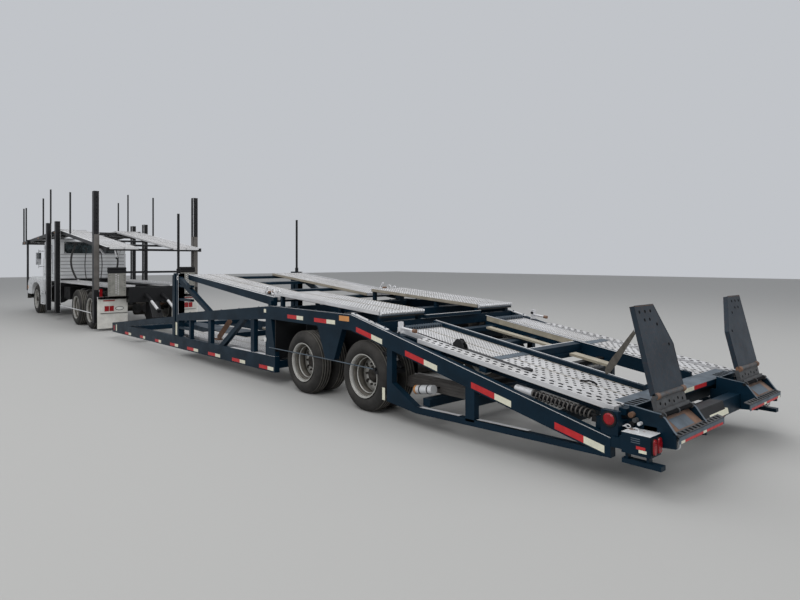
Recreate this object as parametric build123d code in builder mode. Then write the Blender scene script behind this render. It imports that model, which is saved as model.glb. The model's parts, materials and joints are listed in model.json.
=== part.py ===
from build123d import *
from math import hypot
import os

# Car transporter: a day-cab tractor with a head rack, and a stinger-steered semi-trailer behind it.
# Millimetres. +X is forward, +Y is left, +Z is up. The origin is on the ground under the middle.

# Overall
overall_length = 23200.0
overall_width = 2590.0
front_end = overall_length / 2
rear_end = -overall_length / 2
side = overall_width / 2
joint_gap = 0.3
running_gap = 8.0

# Trailer side frame
beam_thickness = 75.0
beam_inner = side - beam_thickness
tip_x = 850.0
tip_bottom = 120.0
tip_top = 320.0
lower_beam_rear_x = -6230.0
lower_beam_bottom = 175.0
lower_beam_top = 394.0
post_front_x = -2620.0
post_rear_x = -2900.0
post_top = 1485.0
post_thickness = 110.0
pole_top = 2550.0
pole_radius = 22.0
wing_depth = 110.0
wing_rise = 0.1076
mid_beam_front_top = 772.0
mid_beam_front_bottom = 642.0
wheel_beam_front_x = -6110.0
wheel_beam_rear_x = -7930.0
wheel_beam_top = 1080.0
wheel_beam_bottom = 900.0
rear_beam_end_x = rear_end + 450
rear_beam_end_top = 364.0
rear_beam_end_bottom = 215.0
well_post_front_x = -5960.0
rear_rail_front_x = -9010.0
rear_rail_front_z = 216.0
rear_rail_end_z = 282.0
rear_rail_depth = 70.0
rear_post_x = -9740.0
rear_post_width = 110.0
gusset_front_x = -8560.0
gusset_rear_x = -8645.0

# Trailer running gear
trailer_axle_x = (-6885.0, -8130.0)
trailer_tyre_radius = 400.0
trailer_tyre_width = 225.0
trailer_rim_radius = 236.0
trailer_wheel_outer = 1285.0
trailer_tyre_gap = 35.0
trailer_axle_radius = 64.0
spindle_radius = 42.0
suspension_rail_bottom = 860.0

# Trailer decks
tread_thickness = 45.0
deck_rail_depth = 90.0
front_deck_front = (-3050.0, 1461.0)
front_deck_rear = (-6000.0, 1190.0)
mid_deck_front = (-6110.0, 1262.0)
mid_deck_rear = (-8300.0, 1132.0)
rear_deck_front = (-8480.0, 962.0)
rear_deck_rear = (rear_end + 580, 584.0)
tail_plate_rear = (rear_end + 400, 568.0)
tread_inner = 500.0
tread_outer = side - 115
hinge_radius = 20.0

# Rear deck lift
lift_base = (-9100.0, 345.0)
lift_eye = (-10150.0, 610.0)
lift_y = 340.0
barrel_radius = 38.0
rod_radius = 20.0
barrel_share = 0.60
lift_pin_radius = 14.0
eye_half = 18.0
lug_thickness = 14.0
lug_gap = 6.0
eye_slack = 5.0

# Rear end and ramps
ramp_hinge = (rear_end + 138, 560.0)
ramp_top = (rear_end + 338, 1361.0)
ramp_inner = 600.0
ramp_outer = 1100.0
ramp_top_inner = 790.0
ramp_thickness = 45.0
ramp_pin_radius = 16.0
ramp_offset = 45.0
rear_crossbeam_x = (rear_end + 170, rear_end + 270)
rear_crossbeam_z = (330.0, 470.0)
lamp_box_x = (rear_end + 141, rear_end + 363)
lamp_box_y = (1130.0, side)
lamp_box_z = (282.0, 436.0)
lamp_size = (52.0, 128.0)
marker_x = rear_end + 541
marker_z = 473.0

# Stinger pivot
pivot_x = 150.0
pin_radius = 60.0
stinger_width = 260.0
stinger_bottom = 210.0
stinger_top = 310.0
coupler_thickness = 80.0

# Tractor running gear
drive_axle_x = (4250.0, 2950.0)
steer_axle_x = 9100.0
truck_tyre_radius = 465.0
drive_tyre_width = 265.0
drive_wheel_outer = 1220.0
steer_tyre_width = 290.0
steer_wheel_outer = 1205.0
truck_rim_radius = 290.0
truck_tyre_gap = 45.0
truck_axle_radius = 70.0
kingpin_y = 800.0
kingpin_radius = 25.0

# Tractor frame, cab and rack
frame_rail_x = (2100.0, 10100.0)
frame_rail_y = (345.0, 432.0)
frame_rail_z = (780.0, 1040.0)
cab_x = (7420.0, 8900.0)
cab_half_width = 1040.0
cab_floor = 1080.0
cab_roof = 2380.0
cab_wall = 45.0
bumper_x = (10400.0, 10560.0)
tow_x = 10470.0
tow_y = 480.0
tow_radius = 21.0
rear_rack_post_x = 2350.0
rear_rack_post_top = 3400.0
side_rack_post_x = (6150.0, 7250.0)
side_rack_post_top = 2850.0
upper_deck_rear = (1750.0, 2030.0)
upper_deck_front = (6250.0, 2600.0)
head_deck_rear = (6330.0, 2630.0)
head_deck_front = (front_end, 2370.0)
mudflap_x = 2170.0

os.makedirs("parts", exist_ok=True)


def line_z(start, end, x):
    """Height at x of the straight line through two points given as X and Z."""
    return start[1] + (end[1] - start[1]) * (x - start[0]) / (end[0] - start[0])


def slab(outline, y_low, y_high, mode=Mode.ADD):
    """Plate with an outline in X and Z, between two widths."""
    with BuildSketch(Plane.XZ.offset(-y_high)) as profile:
        with BuildLine():
            Polyline(*outline, close=True)
        make_face()
    extrude(profile.sketch, amount=y_high - y_low, mode=mode)


def block(x, y, z, mode=Mode.ADD):
    """Box between low and high values."""
    with Locations(((x[0] + x[1]) / 2, (y[0] + y[1]) / 2, (z[0] + z[1]) / 2)):
        Box(x[1] - x[0], y[1] - y[0], z[1] - z[0], mode=mode)


def round_bar(start, end, radius, mode=Mode.ADD, flats=0):
    """Round bar between two points in space, or one with a number of flats."""
    axis = Vector(*end) - Vector(*start)
    with BuildSketch(Plane(origin=start, z_dir=axis)) as profile:
        if flats:
            RegularPolygon(radius, flats, major_radius=False)
        else:
            Circle(radius)
    extrude(profile.sketch, amount=axis.length, mode=mode)


def lower_top(x):
    """Top of the trailer's lower side beam."""
    return line_z((lower_beam_rear_x, lower_beam_top), (tip_x, tip_top), x)


def rear_beam_top(x):
    """Top of the trailer's sloping rear beam."""
    return line_z((wheel_beam_rear_x, wheel_beam_top), (rear_beam_end_x, rear_beam_end_top), x)


def wing_top(x):
    """Top of the trailer's rising wing member."""
    return tip_top + (tip_x - x) * wing_rise


def save(part, name):
    """Labels a finished sub-part and writes it."""
    part.label = name
    export_step(part, f"parts/{name}.step")


# Trailer side frame
mid_beam_top = (
    (wheel_beam_front_x + joint_gap, wheel_beam_top),
    (post_rear_x - joint_gap, mid_beam_front_top),
)
mid_beam_bottom = (
    (wheel_beam_front_x + joint_gap, wheel_beam_bottom),
    (post_rear_x - joint_gap, mid_beam_front_bottom),
)
wing_meet_x = tip_x - wing_depth / (wing_rise - (lower_beam_top - tip_top) / (tip_x - lower_beam_rear_x))

with BuildPart() as trailer_side_beams:
    slab(
        [
            (lower_beam_rear_x, lower_beam_bottom),
            (tip_x, tip_bottom),
            (tip_x, tip_top),
            (lower_beam_rear_x, lower_beam_top),
        ],
        beam_inner,
        side,
    )
    slab(
        [
            (tip_x, tip_top + joint_gap),
            (wing_meet_x, lower_top(wing_meet_x) + joint_gap),
            (post_front_x + joint_gap, wing_top(post_front_x) - wing_depth),
            (post_front_x + joint_gap, wing_top(post_front_x)),
        ],
        beam_inner,
        side,
    )
    slab(
        [mid_beam_bottom[0], mid_beam_bottom[1], mid_beam_top[1], mid_beam_top[0]],
        beam_inner,
        side,
    )
    block(
        (wheel_beam_rear_x, wheel_beam_front_x), (beam_inner, side), (wheel_beam_bottom, wheel_beam_top)
    )
    slab(
        [
            (wheel_beam_rear_x - joint_gap, wheel_beam_top),
            (wheel_beam_rear_x - joint_gap, wheel_beam_bottom),
            (rear_beam_end_x, rear_beam_end_bottom),
            (rear_beam_end_x, rear_beam_end_top),
        ],
        beam_inner,
        side,
    )
    mirror(about=Plane.XZ)
save(trailer_side_beams.part, "trailer_side_beams")

pole_x = (post_front_x + post_rear_x) / 2
with BuildPart() as trailer_posts:
    slab(
        [
            (post_rear_x, lower_top(post_rear_x)),
            (post_front_x, lower_top(post_front_x)),
            (post_front_x, post_top),
            (post_rear_x, post_top),
        ],
        side - post_thickness,
        side,
    )
    round_bar(
        (pole_x, side - post_thickness / 2, post_top + joint_gap),
        (pole_x, side - post_thickness / 2, pole_top),
        pole_radius,
        flats=8,
    )
    mirror(about=Plane.XZ)
save(trailer_posts.part, "trailer_posts")

# Uprights stand between the lower and the upper beams, with a brace behind the front post
upright_rows = [-5580.0, -4150.0]
upright_width = 100.0
cage_rear_x = -3400.0
cage_steps = (500.0, 1000.0, 1240.0)
with BuildPart() as trailer_braces:
    for x in upright_rows:
        x_low, x_high = x - upright_width / 2, x + upright_width / 2
        slab(
            [
                (x_low, lower_top(x_low)),
                (x_high, lower_top(x_high)),
                (x_high, line_z(*mid_beam_bottom, x_high)),
                (x_low, line_z(*mid_beam_bottom, x_low)),
            ],
            beam_inner,
            side - 10,
        )
    slab(
        [
            (lower_beam_rear_x, lower_beam_top),
            (well_post_front_x, lower_top(well_post_front_x)),
            (well_post_front_x, line_z(*mid_beam_bottom, well_post_front_x)),
            mid_beam_bottom[0],
        ],
        beam_inner,
        side - 10,
    )
    slab([(-7250, wheel_beam_bottom), (-7765, wheel_beam_bottom), (-7600, 520), (-7415, 520)], beam_inner, side)
    slab(
        [
            (post_rear_x, 1320),
            (post_rear_x, 1420),
            (-4150, line_z(*mid_beam_top, -4150)),
            (-4000, line_z(*mid_beam_top, -4000)),
        ],
        beam_inner,
        side - 10,
    )
    slab(
        [
            (-4650, lower_top(-4650)),
            (-4500, lower_top(-4500)),
            (-5200, line_z(*mid_beam_bottom, -5200)),
            (-5350, line_z(*mid_beam_bottom, -5350)),
        ],
        beam_inner,
        side - 10,
    )
    for z in cage_steps:
        block((cage_rear_x, post_rear_x), (beam_inner, side - 10), (z, z + 40))
    cage_post = (cage_rear_x, cage_rear_x + 60)
    slab(
        [
            (cage_post[0], lower_top(cage_post[0])),
            (cage_post[1], lower_top(cage_post[1])),
            (cage_post[1], line_z(*mid_beam_bottom, cage_post[1])),
            (cage_post[0], line_z(*mid_beam_bottom, cage_post[0])),
        ],
        beam_inner,
        side - 10,
    )
    mirror(about=Plane.XZ)
save(trailer_braces.part, "trailer_braces")

# Lower rear rail: a gusset behind the wheel, a rail that rises to the rear beam, and one upright
rail_slope = (rear_rail_end_z - rear_rail_front_z) / (rear_beam_end_x - rear_rail_front_x)
beam_slope = (rear_beam_end_bottom - wheel_beam_bottom) / (rear_beam_end_x - wheel_beam_rear_x)
rail_meet_x = (
    rear_rail_front_z - rail_slope * rear_rail_front_x - wheel_beam_bottom + beam_slope * wheel_beam_rear_x
) / (beam_slope - rail_slope)


def rear_beam_bottom(x):
    """Underside of the trailer's sloping rear beam."""
    return line_z((wheel_beam_rear_x, wheel_beam_bottom), (rear_beam_end_x, rear_beam_end_bottom), x)


def rear_rail_top(x):
    """Top of the lower rear rail."""
    return rear_rail_front_z + rail_slope * (x - rear_rail_front_x)


with BuildPart() as trailer_rear_rails:
    slab(
        [
            (gusset_front_x, rear_beam_bottom(gusset_front_x)),
            (gusset_rear_x, rear_beam_bottom(gusset_rear_x)),
            (gusset_rear_x, 400),
            (rear_rail_front_x, rear_rail_front_z),
            (rail_meet_x, rear_beam_bottom(rail_meet_x)),
            (rear_beam_end_x, rear_beam_bottom(rear_beam_end_x)),
            (rear_beam_end_x, rear_rail_top(rear_beam_end_x) - rear_rail_depth),
            (rear_rail_front_x, rear_rail_front_z - rear_rail_depth),
            (gusset_front_x, 195),
        ],
        beam_inner,
        side - 5,
    )
    post_low, post_high = rear_post_x - rear_post_width / 2, rear_post_x + rear_post_width / 2
    slab(
        [
            (post_high, rear_rail_top(post_high) - rear_rail_depth / 2),
            (post_low, rear_rail_top(post_low) - rear_rail_depth / 2),
            (post_low, rear_beam_bottom(post_low)),
            (post_high, rear_beam_bottom(post_high)),
        ],
        beam_inner,
        side - 5,
    )
    mirror(about=Plane.XZ)
save(trailer_rear_rails.part, "trailer_rear_rails")

# Cross frame of the trailer: low and high X, low and high Z
belly_top = 330.0
cross_rows = [
    ((-2860, -2780), (230, belly_top)),
    ((-4200, -4100), (230, belly_top)),
    ((-5630, -5530), (230, belly_top)),
    ((-6225, -6150), (230, belly_top)),
    ((-6190, -6110), (wheel_beam_bottom, 1060)),
    ((-7600, -7415), (wheel_beam_bottom, 1060)),
    ((-8300, -8220), (wheel_beam_bottom, 1010)),
    ((-8560, -8490), (740, 830)),
    ((-9150, -9050), (220, 300)),
    ((rear_post_x - 50, rear_post_x + 50), (350, 440)),
    ((-10700, -10600), (350, 450)),
]
with BuildPart() as trailer_crossmembers:
    for x_pair, z_pair in cross_rows:
        block(x_pair, (-beam_inner, beam_inner), z_pair)
    for x_pair, z_pair in cross_rows[4:7]:
        middle = (x_pair[0] + x_pair[1]) / 2
        for y in (540, 1120):
            slab(
                [
                    (middle - 25, z_pair[1]),
                    (middle + 25, z_pair[1]),
                    (middle + 25, line_z(mid_deck_front, mid_deck_rear, middle + 25) - tread_thickness),
                    (middle - 25, line_z(mid_deck_front, mid_deck_rear, middle - 25) - tread_thickness),
                ],
                y - 25,
                y + 25,
            )
    for y in (lift_y - eye_half - lug_gap - lug_thickness, lift_y + eye_half + lug_gap):
        block((lift_base[0] - 34, lift_base[0] + 34), (y, y + lug_thickness), (300, lift_base[1] + 34))
    pin_end = eye_half + lug_gap + lug_thickness
    round_bar(
        (lift_base[0], lift_y - pin_end, lift_base[1]), (lift_base[0], lift_y + pin_end, lift_base[1]), lift_pin_radius
    )
    mirror(about=Plane.XZ)
save(trailer_crossmembers.part, "trailer_crossmembers")

# Drawbar: a tapering neck, the cross beam between the wings, and the coupler plate over the ball
neck_top = stinger_top + running_gap + coupler_thickness
with BuildPart() as trailer_neck:
    with BuildSketch(Plane.XY.offset(230)) as neck_plan:
        with BuildLine():
            Polyline((-2780, -320), (-60, -110), (-60, 110), (-2780, 320), close=True)
        make_face()
    extrude(neck_plan.sketch, amount=belly_top - 230)
    block((-400, -250), (-beam_inner, beam_inner), (230, lower_top(-250) - 5))
    block((-400, -60), (-110, 110), (belly_top, neck_top))
    block((-60, pivot_x), (-110, 110), (stinger_top + running_gap, neck_top))
    round_bar((pivot_x, 0, stinger_top + running_gap), (pivot_x, 0, neck_top), 110, flats=16)
    round_bar((pivot_x, 0, stinger_bottom), (pivot_x, 0, neck_top), pin_radius)
save(trailer_neck.part, "trailer_neck")

# Tyres have flats about as long as the patch of a tyre that rests on the road.
# Running gear: name, X, tyre radius, tyre width, outer face, tyres, gap, rim radius, disc inset
tyre_flats = 24
rim_flats = 12
bar_flats = 12
rim_wall = 14.0
rim_step = 12.0
disc_thickness = 18.0
wheel_rows = [
    ("steer", steer_axle_x, truck_tyre_radius, steer_tyre_width, steer_wheel_outer, 1, 0, truck_rim_radius, 70),
    ("drive1", drive_axle_x[0], truck_tyre_radius, drive_tyre_width, drive_wheel_outer, 2, truck_tyre_gap,
     truck_rim_radius, 225),
    ("drive2", drive_axle_x[1], truck_tyre_radius, drive_tyre_width, drive_wheel_outer, 2, truck_tyre_gap,
     truck_rim_radius, 225),
    ("trailer1", trailer_axle_x[0], trailer_tyre_radius, trailer_tyre_width, trailer_wheel_outer, 2,
     trailer_tyre_gap, trailer_rim_radius, 190),
    ("trailer2", trailer_axle_x[1], trailer_tyre_radius, trailer_tyre_width, trailer_wheel_outer, 2,
     trailer_tyre_gap, trailer_rim_radius, 190),
]


def span(sign, low, high):
    """Low and high Y on the left, or mirrored to the right."""
    return sorted((sign * low, sign * high))


def ring(centre, y_pair, apothem, inner_apothem=0.0, flats=rim_flats):
    """Ring or disc about a wheel's axis, a flat underneath where it meets the road."""
    with BuildSketch(Plane.XZ.offset(-y_pair[1])) as profile:
        with Locations(centre):
            RegularPolygon(apothem, flats, major_radius=False, rotation=180 / flats)
            if inner_apothem:
                RegularPolygon(
                    inner_apothem, rim_flats, major_radius=False, rotation=180 / rim_flats, mode=Mode.SUBTRACT
                )
    extrude(profile.sketch, amount=y_pair[1] - y_pair[0])


for name, x, tyre_radius, tyre_width, outer_face, tyres, gap, rim_radius, disc_inset in wheel_rows:
    centre = (x, tyre_radius)
    inner_face = outer_face - tyres * tyre_width - (tyres - 1) * gap
    disc_y = outer_face - disc_inset
    for sign, word in ((1, "left"), (-1, "right")):
        with BuildPart() as tyre:
            for index in range(tyres):
                face = outer_face - index * (tyre_width + gap)
                ring(centre, span(sign, face - tyre_width, face), tyre_radius, rim_radius + joint_gap, tyre_flats)
        save(tyre.part, f"{name}_tyre_{word}")
        with BuildPart() as rim:
            ring(centre, span(sign, inner_face + rim_step, outer_face - rim_step), rim_radius, rim_radius - rim_wall)
            ring(centre, span(sign, disc_y - disc_thickness, disc_y), rim_radius - rim_wall / 2)
            ring(centre, span(sign, disc_y - 120, disc_y + 55), 100)
            round_bar(
                (x, sign * (disc_y - 120), tyre_radius),
                (x, sign * (disc_y + 35), tyre_radius),
                spindle_radius + joint_gap,
                mode=Mode.SUBTRACT,
                flats=rim_flats,
            )
        save(rim.part, f"{name}_rim_{word}")


def spindle_end(row):
    """Y of the outer end of the spindle inside a wheel's hub."""
    return row[4] - row[8] + 30


# Trailer axles with their spindles
with BuildPart() as trailer_axles:
    for row in wheel_rows[3:]:
        inner_face = row[4] - 2 * row[3] - row[6]
        centre_z = trailer_tyre_radius
        round_bar((row[1], -inner_face + 10, centre_z), (row[1], inner_face - 10, centre_z), trailer_axle_radius, flats=bar_flats)
        round_bar((row[1], -spindle_end(row), centre_z), (row[1], spindle_end(row), centre_z), spindle_radius)
    # Trailing arms, hangers and air springs
    for x in trailer_axle_x:
        block((x - 60, x + 560), (560, 640), (trailer_tyre_radius + trailer_axle_radius - 12, 545))
        block((x + 480, x + 560), (560, 640), (545, suspension_rail_bottom))
        round_bar((x - 20, 600, 545), (x - 20, 600, suspension_rail_bottom), 70, flats=bar_flats)
    block((trailer_axle_x[1] - 160, wheel_beam_front_x), (555, 645), (suspension_rail_bottom, wheel_beam_bottom))
    mirror(about=Plane.XZ)
save(trailer_axles.part, "trailer_axles")


def along(start, end, share):
    """Point at a share of the way between two points in X and Z."""
    return (start[0] + (end[0] - start[0]) * share, start[1] + (end[1] - start[1]) * share)


def treads(front, rear, y_low, y_high, thickness=tread_thickness):
    """Treadway under a deck's top line, on both sides."""
    slab(
        [front, rear, (rear[0], rear[1] - thickness), (front[0], front[1] - thickness)], y_low, y_high
    )


def cross_bar(front, rear, x, width, depth, half_span):
    """Bar across a deck, its top against the underside of the treadways."""
    x_low, x_high = x - width / 2, x + width / 2
    z_low = line_z(front, rear, x_low) - tread_thickness
    z_high = line_z(front, rear, x_high) - tread_thickness
    slab(
        [(x_low, z_low), (x_high, z_high), (x_high, z_high - depth), (x_low, z_low - depth)],
        -half_span,
        half_span,
    )


# Fixed treadways: over the wheels, and low in the well between the side beams
belly_front_x = -2650.0
belly_rear_x = -6150.0
with BuildPart() as trailer_treads:
    treads(mid_deck_front, mid_deck_rear, tread_inner, tread_outer)
    block((belly_rear_x, belly_front_x), (tread_inner, 1100), (belly_top, belly_top + tread_thickness))
    mirror(about=Plane.XZ)
save(trailer_treads.part, "trailer_treads")

# Front deck: tilts about its rear pin
front_deck_half = side - 115
front_pin = (front_deck_rear[0] + 40, front_deck_rear[1] - 80)
with BuildPart() as front_deck_frame:
    slab(
        [
            front_deck_front,
            front_deck_rear,
            (front_deck_rear[0], front_deck_rear[1] - deck_rail_depth - 30),
            (front_deck_front[0], front_deck_front[1] - deck_rail_depth),
        ],
        front_deck_half - 60,
        front_deck_half,
    )
    mirror(about=Plane.XZ)
    for x in (front_deck_front[0] - 60, -4000, -5000, -5850):
        cross_bar(front_deck_front, front_deck_rear, x, 80, deck_rail_depth - tread_thickness, front_deck_half - 30)
    round_bar(
        (front_pin[0], -front_deck_half - 5, front_pin[1]),
        (front_pin[0], front_deck_half + 5, front_pin[1]),
        hinge_radius + joint_gap,
        mode=Mode.SUBTRACT,
    )
save(front_deck_frame.part, "front_deck_frame")

with BuildPart() as front_deck_treads:
    treads(front_deck_front, front_deck_rear, tread_inner, front_deck_half - 65)
    mirror(about=Plane.XZ)
save(front_deck_treads.part, "front_deck_treads")

# Rear deck: tilts about its front pin
rear_deck_half = beam_inner - running_gap
walkway_inner = 1060.0
rail_rise = 42.0
tail_plate_half = 1150.0
rear_pin = (rear_deck_front[0] - 45, rear_deck_front[1] - 82)
with BuildPart() as rear_deck_frame:
    for y_low, y_high, rise in (
        (tread_inner - 50, tread_inner - 1, rail_rise), (walkway_inner - 10, walkway_inner + 50, -tread_thickness)
    ):
        slab(
            [
                (rear_deck_front[0], rear_deck_front[1] + rise),
                (rear_deck_rear[0], rear_deck_rear[1] + rise),
                (rear_deck_rear[0], rear_deck_rear[1] - deck_rail_depth),
                (rear_deck_front[0], rear_deck_front[1] - deck_rail_depth - 20),
            ],
            y_low,
            y_high,
        )
    slab(
        [
            rear_deck_rear,
            tail_plate_rear,
            (tail_plate_rear[0], tail_plate_rear[1] - tread_thickness),
            (rear_deck_rear[0] - 30, rear_deck_rear[1] - deck_rail_depth),
            (rear_deck_rear[0], rear_deck_rear[1] - deck_rail_depth),
        ],
        0,
        tail_plate_half,
    )
    block((lift_eye[0] - 30, lift_eye[0] + 30), (380, tread_inner - 45), (lift_eye[1] - 25, lift_eye[1] + 35))
    round_bar(
        (lift_eye[0], lift_y - eye_half - lug_gap, lift_eye[1]), (lift_eye[0], 381, lift_eye[1]),
        lift_pin_radius - eye_slack,
        flats=8,
    )
    mirror(about=Plane.XZ)
    for x in (rear_deck_front[0] - 150, -9250, -9830):
        cross_bar(rear_deck_front, rear_deck_rear, x, 80, deck_rail_depth - tread_thickness, rear_deck_half)
    for sign in (1, -1):
        round_bar(
            (rear_pin[0], sign * (walkway_inner - 40), rear_pin[1]),
            (rear_pin[0], sign * rear_deck_half, rear_pin[1]),
            hinge_radius + joint_gap,
            mode=Mode.SUBTRACT,
        )
save(rear_deck_frame.part, "rear_deck_frame")

with BuildPart() as rear_deck_treads:
    treads(rear_deck_front, rear_deck_rear, tread_inner, walkway_inner - 10)
    treads(rear_deck_front, rear_deck_rear, walkway_inner, rear_deck_half)
    mirror(about=Plane.XZ)
save(rear_deck_treads.part, "rear_deck_treads")

# Pins of the two decks, held in ears on the side beams and on the cross frame
pin_ear = 40.0
with BuildPart() as trailer_deck_pins:
    round_bar((front_pin[0], front_deck_half - 70, front_pin[1]), (front_pin[0], beam_inner, front_pin[1]), hinge_radius)
    block(
        (front_pin[0] - pin_ear, front_pin[0] + pin_ear),
        (front_deck_half + running_gap, beam_inner),
        (front_pin[1] - 160, front_pin[1] + 30),
    )
    ear_y = walkway_inner + 50 + running_gap
    round_bar((rear_pin[0], walkway_inner - 20, rear_pin[1]), (rear_pin[0], ear_y + 30, rear_pin[1]), hinge_radius)
    block(
        (rear_pin[0] - 30, rear_pin[0] + 30), (ear_y, ear_y + 30), (830, rear_pin[1] + 18)
    )
    mirror(about=Plane.XZ)
save(trailer_deck_pins.part, "trailer_deck_pins")

# Rear deck lift: a pair of cylinders whose barrels pivot on the cross frame
with BuildPart() as rear_lift_barrels:
    for y in (lift_y, -lift_y):
        end = along(lift_base, lift_eye, barrel_share)
        neck_end = along(lift_base, lift_eye, 0.07)
        round_bar((lift_base[0], y, lift_base[1]), (neck_end[0], y, neck_end[1]), eye_half, flats=8)
        round_bar((neck_end[0], y, neck_end[1]), (end[0], y, end[1]), barrel_radius, flats=bar_flats)
        round_bar((lift_base[0], y - eye_half, lift_base[1]), (lift_base[0], y + eye_half, lift_base[1]), 40, flats=8)
        start = along(lift_base, lift_eye, 0.12)
        round_bar(
            (start[0], y, start[1]), (end[0], y, end[1]), rod_radius + joint_gap, mode=Mode.SUBTRACT, flats=8
        )
        round_bar(
            (lift_base[0], y - barrel_radius, lift_base[1]),
            (lift_base[0], y + barrel_radius, lift_base[1]),
            lift_pin_radius + joint_gap,
            mode=Mode.SUBTRACT,
        )
save(rear_lift_barrels.part, "rear_lift_barrels")

with BuildPart() as rear_lift_rods:
    for y in (lift_y, -lift_y):
        start = along(lift_base, lift_eye, 0.16)
        round_bar((start[0], y, start[1]), (lift_eye[0], y, lift_eye[1]), rod_radius, flats=8)
        round_bar((lift_eye[0], y - eye_half, lift_eye[1]), (lift_eye[0], y + eye_half, lift_eye[1]), 28, flats=8)
        round_bar(
            (lift_eye[0], y - 28, lift_eye[1]),
            (lift_eye[0], y + 28, lift_eye[1]),
            lift_pin_radius,
            mode=Mode.SUBTRACT,
            flats=8,
        )
save(rear_lift_rods.part, "rear_lift_rods")

# Rear frame: cross beam, side cheeks that hold the ramps, sloping aprons and lamp boxes
cheek_thickness = 22.0
cheek_front_x = rear_end + 440
apron_front = (ramp_hinge[0] + 29, ramp_hinge[1] - 34)
apron_rear = (rear_end + 40, apron_front[1] - 92)
cheek_outline = [
    (cheek_front_x, 300),
    (cheek_front_x, 480),
    (tail_plate_rear[0] - 15, 480),
    (tail_plate_rear[0] - 15, ramp_hinge[1] + 38),
    (ramp_hinge[0] - 25, ramp_hinge[1] + 32),
    (apron_rear[0] + 10, apron_rear[1] + 25),
    (rear_end + 30, 440),
    (rear_end + 30, 340),
]
with BuildPart() as trailer_rear_frame:
    for y in (ramp_inner - 8 - cheek_thickness, ramp_outer + 8):
        slab(cheek_outline, y, y + cheek_thickness)
    slab(
        [
            apron_front,
            apron_rear,
            (apron_rear[0] + 12, apron_rear[1] - 14),
            (apron_front[0] + 12, apron_front[1] - 14),
        ],
        ramp_inner - 8,
        ramp_outer + 8,
    )
    block((rear_end, rear_end + 30), (300, ramp_outer + 30), (384, 440))
    block(rear_crossbeam_x, (0, lamp_box_y[0]), rear_crossbeam_z)
    block((cheek_front_x - 60, rear_beam_end_x), (0, side), (300, 380))
    block((lamp_box_x[1], cheek_front_x - 60), (lamp_box_y[0], side), (300, 400))
    block((rear_end + 66, lamp_box_x[1]), (beam_inner, side), (205, 240))
    for x in (lamp_box_x[0] + 20, lamp_box_x[1] - 40):
        block((x, x + 20), (beam_inner, side - 20), (240, lamp_box_z[0]))
    round_bar(
        (ramp_hinge[0], ramp_inner - 8, ramp_hinge[1]),
        (ramp_hinge[0], ramp_outer + 8, ramp_hinge[1]),
        ramp_pin_radius,
    )
    block(lamp_box_x, lamp_box_y, lamp_box_z)
    slab(
        [
            (marker_x - 68, rear_beam_top(marker_x - 68) + joint_gap),
            (marker_x + 68, rear_beam_top(marker_x + 68) + joint_gap),
            (marker_x + 68, marker_z + 64),
            (marker_x - 68, marker_z + 64),
        ],
        beam_inner + 5,
        side - 20,
    )
    mirror(about=Plane.XZ)
save(trailer_rear_frame.part, "trailer_rear_frame")

with BuildPart() as trailer_lamps:
    for y in (lamp_box_y[0] + 22, side - 22 - lamp_size[0]):
        block((lamp_box_x[0] - 22, lamp_box_x[0]), (y, y + lamp_size[0]), (295, 295 + lamp_size[1]))
    round_bar((marker_x, side - 20, marker_z), (marker_x, side - 2, marker_z), 54, flats=bar_flats)
    mirror(about=Plane.XZ)
save(trailer_lamps.part, "trailer_lamps")

# Ramps: tapered plates that stand on a pin between the cheeks
ramp_lean = (ramp_top[0] - ramp_hinge[0], ramp_top[1] - ramp_hinge[1])
ramp_length = hypot(*ramp_lean)
ramp_plane_x = (ramp_lean[0] / ramp_length, 0, ramp_lean[1] / ramp_length)
for sign, word in ((1, "left"), (-1, "right")):
    with BuildPart() as ramp:
        with BuildSketch(
            Plane(
                origin=(ramp_hinge[0] + ramp_offset * ramp_plane_x[2], 0, ramp_hinge[1] - ramp_offset * ramp_plane_x[0]),
                x_dir=ramp_plane_x,
                z_dir=(-ramp_plane_x[2], 0, ramp_plane_x[0]),
            )
        ) as outline:
            with BuildLine():
                Polyline(
                    (-15, sign * ramp_inner),
                    (-15, sign * ramp_outer),
                    (ramp_length, sign * ramp_outer),
                    (ramp_length, sign * ramp_top_inner),
                    (ramp_length - 330, sign * ramp_inner),
                    close=True,
                )
            make_face()
        extrude(outline.sketch, amount=ramp_thickness / 2, both=True)
        round_bar(
            (ramp_hinge[0], sign * ramp_inner, ramp_hinge[1]), (ramp_hinge[0], sign * ramp_outer, ramp_hinge[1]), 32,
            flats=8,
        )
        round_bar(
            (ramp_hinge[0], sign * ramp_inner, ramp_hinge[1]),
            (ramp_hinge[0], sign * ramp_outer, ramp_hinge[1]),
            ramp_pin_radius + joint_gap,
            mode=Mode.SUBTRACT,
        )
    save(ramp.part, f"ramp_{word}")

# Tractor frame: two rails, cross members, rear riser and the stinger under it
riser_x = (1900.0, 2100.0)
with BuildPart() as truck_frame:
    block(frame_rail_x, frame_rail_y, frame_rail_z)
    for x in (2500, 3600, 5200, 6700, 8000, 10000):
        block((x - 50, x + 50), (0, frame_rail_y[0]), (frame_rail_z[0] + 40, frame_rail_z[1] - 40))
    block(riser_x, (0, 600), (frame_rail_z[0] - 100, frame_rail_z[1]))
    for x in (7500, 8800):
        block((x, x + 90), frame_rail_y, (frame_rail_z[1], cab_floor))
    block((frame_rail_x[1] - 100, frame_rail_x[1]), frame_rail_y, (480, 800))
    block((frame_rail_x[1] - 100, bumper_x[0]), frame_rail_y, (480, 700))
    mirror(about=Plane.XZ)
save(truck_frame.part, "truck_frame")

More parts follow.
